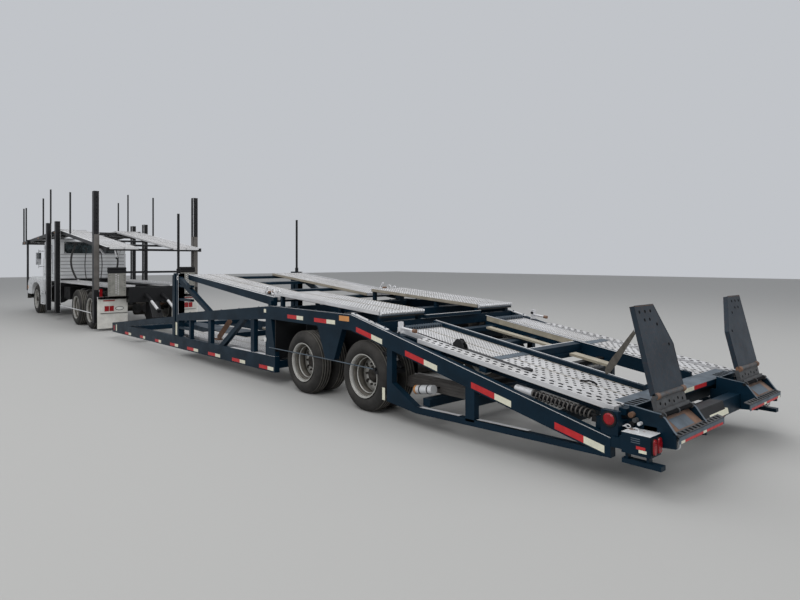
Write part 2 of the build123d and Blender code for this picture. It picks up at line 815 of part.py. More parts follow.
with BuildPart() as stinger:
    block((pivot_x, riser_x[1]), (-stinger_width / 2, stinger_width / 2), (stinger_bottom, stinger_top))
    round_bar((pivot_x, 0, stinger_bottom), (pivot_x, 0, stinger_top), stinger_width / 2, flats=16)
    slab(
        [
            (riser_x[0] - 250, stinger_top),
            (riser_x[1], stinger_top),
            (riser_x[1], frame_rail_z[0] - 100),
            (riser_x[0], frame_rail_z[0] - 100),
        ],
        -stinger_width / 2,
        stinger_width / 2,
    )
    round_bar((pivot_x, 0, stinger_bottom), (pivot_x, 0, stinger_top), pin_radius + joint_gap, mode=Mode.SUBTRACT)
save(stinger.part, "stinger")

# Tractor axles: two driven axles with spring packs, and the front axle with its kingpins
knuckle_radius = 55.0
knuckle_z = (truck_tyre_radius - 65, truck_tyre_radius + 65)
ear_thickness = 18.0
beam_end_y = kingpin_y - knuckle_radius - 15
with BuildPart() as truck_axles:
    for row in wheel_rows[1:3]:
        inner_face = row[4] - 2 * row[3] - row[6]
        z = row[2]
        round_bar((row[1], -inner_face + 15, z), (row[1], inner_face - 15, z), truck_axle_radius, flats=bar_flats)
        round_bar((row[1], -spindle_end(row), z), (row[1], spindle_end(row), z), spindle_radius)
        ring((row[1], z), (-130, 130), 175)
        for sign in (1, -1):
            block((row[1] - 70, row[1] + 70), span(sign, frame_rail_y[0], frame_rail_y[1]), (z, frame_rail_z[0]))
    z = truck_tyre_radius
    block((steer_axle_x - 55, steer_axle_x + 55), (-beam_end_y, beam_end_y), (z - 65, z + 65))
    for sign in (1, -1):
        for low, high in (
            (knuckle_z[0] - running_gap - ear_thickness, knuckle_z[0] - running_gap),
            (knuckle_z[1] + running_gap, knuckle_z[1] + running_gap + ear_thickness),
        ):
            block(
                (steer_axle_x - 45, steer_axle_x + 45), span(sign, beam_end_y - 60, kingpin_y + 30), (low, high)
            )
        block(
            (steer_axle_x - 45, steer_axle_x + 45),
            span(sign, beam_end_y - 60, beam_end_y),
            (knuckle_z[0] - running_gap, knuckle_z[1] + running_gap),
        )
        round_bar(
            (steer_axle_x, sign * kingpin_y, knuckle_z[0] - running_gap - ear_thickness),
            (steer_axle_x, sign * kingpin_y, knuckle_z[1] + running_gap + ear_thickness),
            kingpin_radius,
        )
        block(
            (steer_axle_x - 50, steer_axle_x + 50), span(sign, frame_rail_y[0], frame_rail_y[1]), (z + 65, frame_rail_z[0])
        )
save(truck_axles.part, "truck_axles")

for sign, word in ((1, "left"), (-1, "right")):
    with BuildPart() as knuckle:
        round_bar(
            (steer_axle_x, sign * kingpin_y, knuckle_z[0]),
            (steer_axle_x, sign * kingpin_y, knuckle_z[1]),
            knuckle_radius,
            flats=8,
        )
        round_bar(
            (steer_axle_x, sign * kingpin_y, truck_tyre_radius),
            (steer_axle_x, sign * spindle_end(wheel_rows[0]), truck_tyre_radius),
            spindle_radius,
        )
        round_bar(
            (steer_axle_x, sign * kingpin_y, knuckle_z[0]),
            (steer_axle_x, sign * kingpin_y, knuckle_z[1]),
            kingpin_radius + joint_gap,
            mode=Mode.SUBTRACT,
        )
    save(knuckle.part, f"knuckle_{word}")

# Cab: hollow shell with door openings, windscreen and rear window
door_x = (7620.0, 8720.0)
door_z = (1180.0, 2250.0)
window_z = (1780.0, 2190.0)
cab_outline = [
    (cab_x[0], cab_floor),
    (cab_x[0], cab_roof - 60),
    (cab_x[0] + 80, cab_roof),
    (8450, cab_roof),
    (8700, 2300),
    (8880, 1800),
    (9000, 1760),
    (9000, cab_floor),
]
cab_inner = [
    (cab_x[0] + cab_wall, cab_floor + cab_wall),
    (cab_x[0] + cab_wall, cab_roof - 80),
    (cab_x[0] + 100, cab_roof - cab_wall),
    (8425, cab_roof - cab_wall),
    (8655, 2280),
    (8840, 1770),
    (8955, 1740),
    (8955, cab_floor + cab_wall),
]
door_gap = 8.0
rear_window_half = 740.0
rear_window_z = (1950.0, 2280.0)
step_x = (7990.0, 8424.0)
step_y = (1000.0, 1215.0)
step_heights = (340.0, 700.0)
door_skin = 20.0
door_front_gap = 30.0
door_pin = (8716.0, cab_half_width + 16)
door_pin_radius = 6.0
hinge_heights = (1290.0, 2120.0)
lug_height = 60.0
bracket_height = 22.0
hinge_gap = 3.0
with BuildPart() as cab_shell:
    slab(cab_outline, -cab_half_width, cab_half_width)
    slab(cab_inner, -cab_half_width + cab_wall, cab_half_width - cab_wall, mode=Mode.SUBTRACT)
    for sign in (1, -1):
        block(door_x, span(sign, cab_half_width - cab_wall - 1, cab_half_width + 1), door_z, mode=Mode.SUBTRACT)
    block((cab_x[0] - 1, cab_x[0] + cab_wall + 1), (-rear_window_half, rear_window_half), rear_window_z, mode=Mode.SUBTRACT)
    for sign in (1, -1):
        for z in hinge_heights:
            for low in (z - hinge_gap - bracket_height, z + lug_height + hinge_gap):
                block(
                    (door_pin[0] - 8, door_pin[0] + 40),
                    span(sign, cab_half_width, door_pin[1] + 10),
                    (low, low + bracket_height),
                )
            round_bar(
                (door_pin[0], sign * door_pin[1], z - hinge_gap - bracket_height),
                (door_pin[0], sign * door_pin[1], z + lug_height + hinge_gap + bracket_height),
                door_pin_radius,
            )
    for sign in (1, -1):
        for x in (step_x[0], step_x[1] - 20):
            block((x, x + 20), span(sign, *step_y), (step_heights[0], cab_floor))
        for z in step_heights:
            block(step_x, span(sign, *step_y), (z, z + 35))
        block(step_x, span(sign, step_y[0], step_y[0] + 20), (step_heights[0], cab_floor))
    block((8500, 9010), (-cab_half_width + 90, -25), (1840, 2260), mode=Mode.SUBTRACT)
    block((8500, 9010), (25, cab_half_width - 90), (1840, 2260), mode=Mode.SUBTRACT)
save(cab_shell.part, "cab_shell")

# Doors hang on lugs at their front edge, outside the skin
for sign, word in ((1, "left"), (-1, "right")):
    with BuildPart() as door:
        skin = span(sign, cab_half_width - door_skin, cab_half_width)
        block(
            (door_x[0] + door_gap, door_x[1] - door_front_gap), skin, (door_z[0] + door_gap, door_z[1] - door_gap)
        )
        block((door_x[0] + 90, door_x[1] - 110), (skin[0] - 1, skin[1] + 1), window_z, mode=Mode.SUBTRACT)
        for z in hinge_heights:
            block(
                (door_pin[0] - 70, door_pin[0]),
                span(sign, cab_half_width, door_pin[1] + 10),
                (z, z + lug_height),
            )
            round_bar(
                (door_pin[0], sign * door_pin[1], z), (door_pin[0], sign * door_pin[1], z + lug_height), 12, flats=8
            )
            round_bar(
                (door_pin[0], sign * door_pin[1], z - 1),
                (door_pin[0], sign * door_pin[1], z + lug_height + 1),
                door_pin_radius + joint_gap,
                mode=Mode.SUBTRACT,
                flats=8,
            )
    save(door.part, f"door_{word}")

# Glass fills the windscreen, the rear window and the door windows stay open above the sill
glass = 6.0
with BuildPart() as cab_glass:
    block((cab_x[0] + 20, cab_x[0] + 20 + glass), (-rear_window_half, rear_window_half), rear_window_z)
    for sign in (1, -1):
        slab([(8850, 1840), (8843, 1840), (8692, 2260), (8699, 2260)], *span(sign, 25, cab_half_width - 90))
save(cab_glass.part, "cab_glass")

# Hood and fenders tilt as one moulding on the real truck; here they stay shut
hood_half = 640.0
fender_half = 1215.0
hood_outline = [(9000.3, 1060), (9000.3, 1700), (9700, 1620), (10300, 1450), (10380, 1300), (10380, 740), (10200, 740), (10200, 1060)]
hood_inner = [(8990, 1050), (8990, 1665), (9690, 1585), (10280, 1420), (10345, 1290), (10345, 735), (10190, 735), (10190, 1050)]
fender_outline = [
    (8430, 650), (8430, 1000), (8500, 1072), (9000.3, 1072), (9000.3, 1190), (9560, 1190), (10250, 1060), (10380, 930), (10380, 600),
    (9740, 600), (9700, 900), (9560, 1015), (8640, 1015), (8500, 900), (8470, 650),
]
with BuildPart() as hood:
    slab(hood_outline, -hood_half, hood_half)
    slab(fender_outline, hood_half - 30, fender_half)
    slab(fender_outline, -fender_half, -hood_half + 30)
    slab(hood_inner, -hood_half + 30, hood_half - 30, mode=Mode.SUBTRACT)
save(hood.part, "hood")

with BuildPart() as bumper:
    with BuildSketch(Plane.XY.offset(430)) as bumper_plan:
        with BuildLine():
            Polyline(
                (bumper_x[0], -1215), (bumper_x[1] - 60, -1215), (bumper_x[1], -1050), (bumper_x[1], 1050),
                (bumper_x[1] - 60, 1215), (bumper_x[0], 1215), close=True,
            )
        make_face()
    extrude(bumper_plan.sketch, amount=270)
    for index in range(7):
        block((10380.3, 10398), (-420, 420), (780 + 75 * index, 812 + 75 * index))
    for y in (-420, -10, 400):
        block((10380.3, 10399.7), (y, y + 20), (720, 1280))
    for y in (-tow_y, tow_y):
        round_bar((tow_x, y, 429), (tow_x, y, 701), tow_radius, mode=Mode.SUBTRACT)
save(bumper.part, "bumper")

with BuildPart() as engine:
    block((9010, 9900), (-frame_rail_y[0] + joint_gap, frame_rail_y[0] - joint_gap), (700, 1450))
save(engine.part, "engine")

with BuildPart() as cab_interior:
    floor = cab_floor + cab_wall
    for y in (-480, 480):
        block((7600, 8100), (y - 250, y + 250), (floor, floor + 330))
        block((7520, 7640), (y - 250, y + 250), (floor, floor + 950))
    block((8600, 8940), (-950, 950), (floor + 330, floor + 560))
    block((8780, 8900), (-900, -800), (floor, floor + 330))
    block((8780, 8900), (800, 900), (floor, floor + 330))
    with BuildSketch(Plane(origin=(8520, 480, floor + 560), z_dir=(-0.7, 0, 1))) as wheel_plan:
        RegularPolygon(226, bar_flats)
        RegularPolygon(192, bar_flats, mode=Mode.SUBTRACT)
        Rectangle(400, 36)
    extrude(wheel_plan.sketch, amount=24)
    round_bar((8520, 480, floor + 560), (8640, 480, floor + 420), 25, flats=8)
save(cab_interior.part, "cab_interior")

with BuildPart() as tanks:
    round_bar((7440, 880, 700), (7960, 880, 700), 300, flats=16)
    block((7500, 7560), (frame_rail_y[1], 620), (780, 840))
    block((7840, 7900), (frame_rail_y[1], 620), (780, 840))
    mirror(about=Plane.XZ)
save(tanks.part, "tanks")

# Rack posts: X, half width along X, inner Y, foot, top
rack_post_inner = side - 120
post_rows = [
    (rear_rack_post_x, 75, 200, rear_rack_post_top),
    (side_rack_post_x[0], 85, 200, side_rack_post_top),
    (side_rack_post_x[1], 85, 200, side_rack_post_top),
]
head_deck_half = side - 130
head_pin = (10480.0, line_z(head_deck_rear, head_deck_front, 10480) - 60)
upper_pin = (side_rack_post_x[0], line_z(upper_deck_rear, upper_deck_front, side_rack_post_x[0]) - 60)
with BuildPart() as rack_posts:
    for x, half, foot, top in post_rows:
        block((x - half, x + half), (rack_post_inner, side), (foot, top))
    for x in (rear_rack_post_x, side_rack_post_x[0], side_rack_post_x[1]):
        block((x - 40, x + 40), (frame_rail_y[1], rack_post_inner), (frame_rail_z[1] - 80, frame_rail_z[1] - 5))
    block((head_pin[0] - 50, head_pin[0] + 50), (head_deck_half + 10, head_deck_half + 60), (700, head_pin[1] + 60))
    for pin in (head_pin, upper_pin):
        round_bar((pin[0], head_deck_half - 60, pin[1]), (pin[0], head_deck_half + 12, pin[1]), hinge_radius)
    mirror(about=Plane.XZ)
save(rack_posts.part, "rack_posts")

# Tractor decks with their rails and slim poles: name, rear, front, pin, cross bars, poles and their tops
deck_rows = [
    ("upper_deck", upper_deck_rear, upper_deck_front, upper_pin, (1850, 2900, 4000, 5100, 6000), ((5150, 3620),)),
    ("head_deck", head_deck_rear, head_deck_front, head_pin, (6450, 7700, 9000, 10300, 11450),
     ((7450, 3900), (8450, 3700), (11100, 3570), (11500, 3570))),
]
for name, rear, front, pin, bars, poles in deck_rows:
    with BuildPart() as deck_treads:
        treads(front, rear, 420, head_deck_half - 65)
        mirror(about=Plane.XZ)
    save(deck_treads.part, f"{name}_treads")
    with BuildPart() as deck:
        slab(
            [front, rear, (rear[0], rear[1] - deck_rail_depth), (front[0], front[1] - deck_rail_depth)],
            head_deck_half - 65,
            head_deck_half,
        )
        for x, top in poles:
            base = line_z(front, rear, x)
            round_bar((x, head_deck_half - 30, base - 40), (x, head_deck_half - 30, top), pole_radius, flats=8)
        mirror(about=Plane.XZ)
        for x in bars:
            cross_bar(front, rear, x, 80, deck_rail_depth - tread_thickness, head_deck_half - 30)
        block((pin[0] - 45, pin[0] + 45), (head_deck_half - 65, head_deck_half), (pin[1] - 45, pin[1]))
        block((pin[0] - 45, pin[0] + 45), (-head_deck_half, -head_deck_half + 65), (pin[1] - 45, pin[1]))
        round_bar(
            (pin[0], -head_deck_half - 1, pin[1]), (pin[0], head_deck_half + 1, pin[1]),
            hinge_radius + joint_gap, mode=Mode.SUBTRACT,
        )
    save(deck.part, f"{name}_frame")

with BuildPart() as truck_lower_deck:
    block((1990, 7160), (420, 1090), (frame_rail_z[1] + 20, frame_rail_z[1] + 65))
    for x in (2050, 3600, 5200, 6700):
        block((x - 40, x + 40), (0, 1090), (frame_rail_z[1], frame_rail_z[1] + 20))
    block((1930, 1975), (660, 1070), (850, 1550))
    block((1975, 1990), (700, 1030), (frame_rail_z[1] + 20, frame_rail_z[1] + 65))
    block((1935, 1970), (0, 660), (1400, 1450))
    mirror(about=Plane.XZ)
save(truck_lower_deck.part, "truck_lower_deck")

with BuildPart() as mudflaps:
    block((mudflap_x - 10, mudflap_x), (550, 1250), (60, 780))
    block((mudflap_x - 60, mudflap_x), (frame_rail_y[1], 1250), (780, 830))
    mirror(about=Plane.XZ)
save(mudflaps.part, "mudflaps")
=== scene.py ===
import json
import math

import bpy
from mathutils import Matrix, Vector


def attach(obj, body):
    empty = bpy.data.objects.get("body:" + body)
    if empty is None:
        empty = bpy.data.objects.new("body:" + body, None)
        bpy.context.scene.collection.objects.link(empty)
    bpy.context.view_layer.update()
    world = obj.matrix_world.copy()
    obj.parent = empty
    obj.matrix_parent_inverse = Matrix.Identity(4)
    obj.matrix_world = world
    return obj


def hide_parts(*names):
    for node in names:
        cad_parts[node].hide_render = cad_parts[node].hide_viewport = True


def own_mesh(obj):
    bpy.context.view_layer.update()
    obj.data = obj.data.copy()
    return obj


# Metres, in the frame of the CAD model: +X forward, +Y left, +Z up
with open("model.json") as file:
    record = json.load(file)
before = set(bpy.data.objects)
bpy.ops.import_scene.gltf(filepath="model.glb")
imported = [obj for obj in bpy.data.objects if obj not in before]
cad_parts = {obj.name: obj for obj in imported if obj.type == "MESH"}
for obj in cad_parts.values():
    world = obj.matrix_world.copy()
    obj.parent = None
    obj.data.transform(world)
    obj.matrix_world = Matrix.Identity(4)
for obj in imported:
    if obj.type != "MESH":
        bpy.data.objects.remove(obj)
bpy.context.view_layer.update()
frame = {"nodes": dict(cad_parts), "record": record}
nodes = frame["nodes"]

# Trailer's half width, and the inner and outer faces of its side beams
side = 1.295
beam_inner = 1.22
face = 1.2938
on_face = (face - 0.0005, face + 0.0009)

# Slot of the record for each material, and the material of the CAD nodes for each slot
slot_of, slot_material = {}, {}


# Materials

def node_tree(name):
    """New material, with its tree and its shader."""
    material = bpy.data.materials.new(name)
    material.use_nodes = True
    return material, material.node_tree, material.node_tree.nodes["Principled BSDF"]


def in_slot(material, slot):
    """Material noted under its slot; the first one of a slot is also what the CAD nodes get."""
    slot_of[material] = slot
    slot_material.setdefault(slot, material)
    return material


def surface(name, slot, colour, rough, metallic=0.0, spread=0.25, scale=6.0, dust=None, wear=None,
            bump=0.1, grain=60.0, coat=0.0, shine=0.5):
    """Painted, metal, rubber or plastic surface, with patches, dust that lies on top, worn edges and a
    grain. Dust and wear are a colour and how much there is of it."""
    material, tree, shader = node_tree(name)
    add, link = tree.nodes.new, tree.links.new
    place = add("ShaderNodeTexCoord").outputs["Object"]
    geometry = add("ShaderNodeNewGeometry").outputs

    def noise(size, detail, rise=0.5):
        """Noise over the object."""
        node = add("ShaderNodeTexNoise")
        for key, number in (("Scale", size), ("Detail", detail), ("Roughness", rise)):
            node.inputs[key].default_value = number
        link(place, node.inputs["Vector"])
        return node.outputs["Fac"]

    def mixed(amount, other):
        """Another colour over the result, by an amount that varies over the surface."""
        mix = add("ShaderNodeMix")
        mix.data_type = "RGBA"
        link(amount, mix.inputs["Factor"])
        link(result, mix.inputs["A"])
        mix.inputs["B"].default_value = (*other, 1)
        return mix.outputs["Result"]

    def ranged(value, *numbers):
        """Value spread over another range, and kept inside it."""
        spread_out = add("ShaderNodeMapRange")
        link(value, spread_out.inputs["Value"])
        for key, number in zip(("From Min", "From Max", "To Min", "To Max"), numbers):
            spread_out.inputs[key].default_value = number
        return spread_out.outputs["Result"]

    def product(first, second):
        """Two values multiplied."""
        times = add("ShaderNodeMath")
        times.operation = "MULTIPLY"
        link(first, times.inputs[0])
        link(second, times.inputs[1])
        return times.outputs["Value"]

    patches = noise(scale, 8.0, 0.65)
    ramp = add("ShaderNodeValToRGB")
    ends = zip(ramp.color_ramp.elements, (0.3, 0.72), (1 - spread, 1 + spread))
    for element, position, share in ends:
        element.position = position
        element.color = (*[min(1, c * share) for c in colour], 1)
    link(patches, ramp.inputs["Fac"])
    result = ramp.outputs["Color"]
    if dust:
        split = add("ShaderNodeSeparateXYZ")
        link(geometry["Normal"], split.inputs["Vector"])
        upward = ranged(split.outputs["Z"], -0.2, 1.0, 0.25 * dust[3], dust[3])
        film = ranged(noise(scale * 0.55, 10.0), 0.35, 0.65, 0.35, 1.0)
        result = mixed(product(upward, film), dust[:3])
    if wear:
        edge = ranged(geometry["Pointiness"], 0.5, 0.58, 0.25 * wear[3], wear[3])
        chips = ranged(noise(38.0, 6.0), 0.5, 0.66, 0.0, 1.0)
        result = mixed(product(edge, chips), wear[:3])
    link(result, shader.inputs["Base Color"])
    link(ranged(patches, 0.3, 0.7, min(1, rough * 1.18), rough * 0.82), shader.inputs["Roughness"])
    relief = add("ShaderNodeBump")
    relief.inputs["Strength"].default_value = bump
    relief.inputs["Distance"].default_value = 0.004
    link(noise(grain, 4.0), relief.inputs["Height"])
    link(relief.outputs["Normal"], shader.inputs["Normal"])
    for key, number in (("Metallic", metallic), ("Specular IOR Level", shine), ("Coat Weight", coat)):
        shader.inputs[key].default_value = number
    if coat:
        shader.inputs["Coat Roughness"].default_value = 0.12
    return in_slot(material, slot)


def glass_material():
    """Dark window glass."""
    material, tree, shader = node_tree("window_glass")
    smear = tree.nodes.new("ShaderNodeTexNoise")
    smear.inputs["Scale"].default_value = 7.0
    spread_out = tree.nodes.new("ShaderNodeMapRange")
    spread_out.inputs["To Min"].default_value = 0.03
    spread_out.inputs["To Max"].default_value = 0.12
    tree.links.new(smear.outputs["Fac"], spread_out.inputs["Value"])
    tree.links.new(spread_out.outputs["Result"], shader.inputs["Roughness"])
    shader.inputs["Base Color"].default_value = (0.16, 0.2, 0.21, 1)
    shader.inputs["Transmission Weight"].default_value = 0.85
    shader.inputs["IOR"].default_value = 1.45
    return in_slot(material, "glass")


soil = (0.3, 0.28, 0.25)
navy = surface("navy_paint", "trailer_paint", (0.0022, 0.0145, 0.028), 0.42, spread=0.35, scale=3.0,
               dust=(0.02, 0.034, 0.045, 0.08), bump=0.05, shine=0.14)
steel = surface("deck_aluminium", "deck_steel", (0.64, 0.64, 0.65), 0.5, metallic=0.3, spread=0.16,
                scale=3.0, dust=(0.42, 0.4, 0.375, 0.5), bump=0.25, grain=140.0)
cream = surface("dusty_plank_wall", "deck_steel", (0.34, 0.3, 0.235), 0.75, scale=5.0,
                dust=(0.22, 0.2, 0.17, 0.4), bump=0.2)
skid_grey = surface("skid_plate", "deck_steel", (0.25, 0.245, 0.22), 0.6, metallic=0.2, scale=12.0,
                    dust=(0.16, 0.15, 0.13, 0.4), bump=0.3)
# Light bare metal for bolts, studs, chains, bars and cylinders; its thin strips along top edges are painted
# highlights
bright = surface("bright_metal_and_highlight", "deck_steel", (0.72, 0.72, 0.73), 0.4, metallic=0.25, spread=0.15,
                 dust=(*soil, 0.2))
tan = surface("dusty_board", "deck_steel", (0.36, 0.32, 0.24), 0.8, scale=9.0, dust=(*soil, 0.3),
              bump=0.3)
black = surface("black_paint", "frame_black", (0.007, 0.0075, 0.009), 0.45, spread=0.4, scale=3.0,
                dust=(0.05, 0.046, 0.042, 0.14), bump=0.05, shine=0.25)
post_brown = surface("dusty_post", "frame_black", (0.115, 0.107, 0.1), 0.7, spread=0.3,
                     dust=(0.24, 0.22, 0.2, 0.4), shine=0.3)
white = surface("white_paint", "cab_white", (0.74, 0.75, 0.76), 0.28, spread=0.04,
                dust=(*soil, 0.15), coat=0.5, bump=0.03)
ramp_grey = surface("ramp_steel", "ramp_grey", (0.018, 0.029, 0.042), 0.5, metallic=0.1, spread=0.3,
                    scale=2.5, dust=(0.05, 0.058, 0.066, 0.16), wear=(0.09, 0.042, 0.025, 0.75),
                    bump=0.2, shine=0.25)
foot_grey = surface("ramp_foot_steel", "ramp_grey", (0.07, 0.075, 0.08), 0.6, metallic=0.2,
                    spread=0.3, scale=8.0, dust=(0.12, 0.11, 0.105, 0.3),
                    wear=(0.13, 0.07, 0.045, 0.5), bump=0.3, shine=0.3)
worn = surface("worn_slate_paint", "ramp_grey", (0.085, 0.115, 0.145), 0.5, metallic=0.2,
               spread=0.35, scale=5.0, dust=(0.15, 0.16, 0.17, 0.3), shine=0.35)
rubber = surface("tyre_rubber", "tyre", (0.02, 0.0195, 0.019), 0.86, spread=0.3, scale=9.0,
                 dust=(0.13, 0.12, 0.108, 0.55), bump=0.5, grain=220.0, shine=0.25)
tread_dust = surface("dusty_tread", "tyre", (0.1, 0.095, 0.085), 0.9, spread=0.35, scale=9.0,
                     dust=(0.26, 0.245, 0.215, 0.6), bump=0.5, grain=220.0, shine=0.2)
rim_paint = surface("rim_paint", "rim", (0.4, 0.395, 0.37), 0.5, metallic=0.25, spread=0.3,
                    scale=11.0, dust=(0.24, 0.22, 0.19, 0.4), wear=(0.2, 0.1, 0.05, 0.4))
rim_dust = surface("dusty_rim_well", "rim", (0.095, 0.088, 0.075), 0.8, spread=0.4, scale=14.0,
                   dust=(0.17, 0.15, 0.125, 0.4), bump=0.3, shine=0.3)
rim_light = surface("rim_edge", "rim", (0.62, 0.61, 0.58), 0.42, metallic=0.3, spread=0.2,
                    scale=14.0, dust=(*soil, 0.25))
iron = surface("axle_iron", "axle_iron", (0.025, 0.023, 0.021), 0.75, metallic=0.2, spread=0.5,
               scale=14.0, dust=(0.13, 0.11, 0.09, 0.4), bump=0.5, shine=0.3)
rust = surface("rusty_plate", "axle_iron", (0.2, 0.1, 0.055), 0.85, spread=0.5, scale=7.0,
               dust=(0.2, 0.195, 0.19, 0.55), bump=0.6, grain=90.0, shine=0.25)
chrome = surface("chrome", "chrome", (0.78, 0.78, 0.79), 0.1, metallic=1.0, spread=0.06,
                 dust=(*soil, 0.08), bump=0.02)
trim = surface("cab_trim", "trim", (0.02, 0.02, 0.022), 0.7, spread=0.2, bump=0.4, grain=300.0)
# Painted shade: near-black for the walls of holes, for discs and slots where holes are, and for the shadow
# line at the ramps' hinge
hole = surface("painted_hole_shade", "trim", (0.006, 0.006, 0.007), 0.9, spread=0.3, shine=0.1)
hose = surface("hose_rubber", "trim", (0.018, 0.018, 0.02), 0.55, spread=0.3, dust=(*soil, 0.3))
webbing = surface("grey_webbing", "trim", (0.12, 0.11, 0.095), 0.85, spread=0.3, scale=14.0,
                  dust=(*soil, 0.3), bump=0.5, grain=700.0, shine=0.2)
flap = surface("mudflap_rubber", "flap", (0.62, 0.61, 0.57), 0.7, spread=0.2, scale=5.0,
               dust=(0.36, 0.32, 0.27, 0.45), bump=0.2)
tape_white = surface("tape_white", "flap", (0.74, 0.72, 0.57), 0.4, spread=0.12, scale=20.0,
                     dust=(*soil, 0.15), bump=0.2, grain=500.0, shine=0.3)
engine_iron = surface("engine_iron", "engine_iron", (0.05, 0.05, 0.052), 0.7, metallic=0.4,
                      spread=0.4, bump=0.4)
lamp_red = surface("red_lens", "lamp_red", (0.27, 0.003, 0.007), 0.25, scale=30.0, coat=0.15,
                   bump=0.3, grain=400.0, shine=0.35)
tape_red = surface("tape_red", "lamp_red", (0.5, 0.014, 0.018), 0.4, spread=0.2, scale=20.0,
                   dust=(*soil, 0.12), bump=0.2, grain=500.0, shine=0.3)
amber = surface("amber_lens", "lamp_red", (0.62, 0.27, 0.08), 0.3, spread=0.15, bump=0.3,
                grain=400.0)
glass = glass_material()
clear = surface("clear_lens", "glass", (0.7, 0.7, 0.66), 0.18, spread=0.1, coat=0.6)

for row in frame["record"]["subparts"]:
    mesh = nodes[row["node"]].data
    mesh.materials.clear()
    mesh.materials.append(slot_material[row["material_slot"]])


# Pieces

def circle(steps, count=None):
    """Cosine and sine at even steps round a circle, for one round or for another count."""
    turns = [2 * math.pi * i / steps for i in range(count or steps)]
    return [(math.cos(t), math.sin(t)) for t in turns]


def line(start, end):
    """Height at an X along the line through two points in X and Z."""
    return lambda x: start[1] + (end[1] - start[1]) * (x - start[0]) / (end[0] - start[0])


def each(make, *rows):
    """Forms of one kind, each by a row of its measures."""
    for row in rows:
        make(*row)


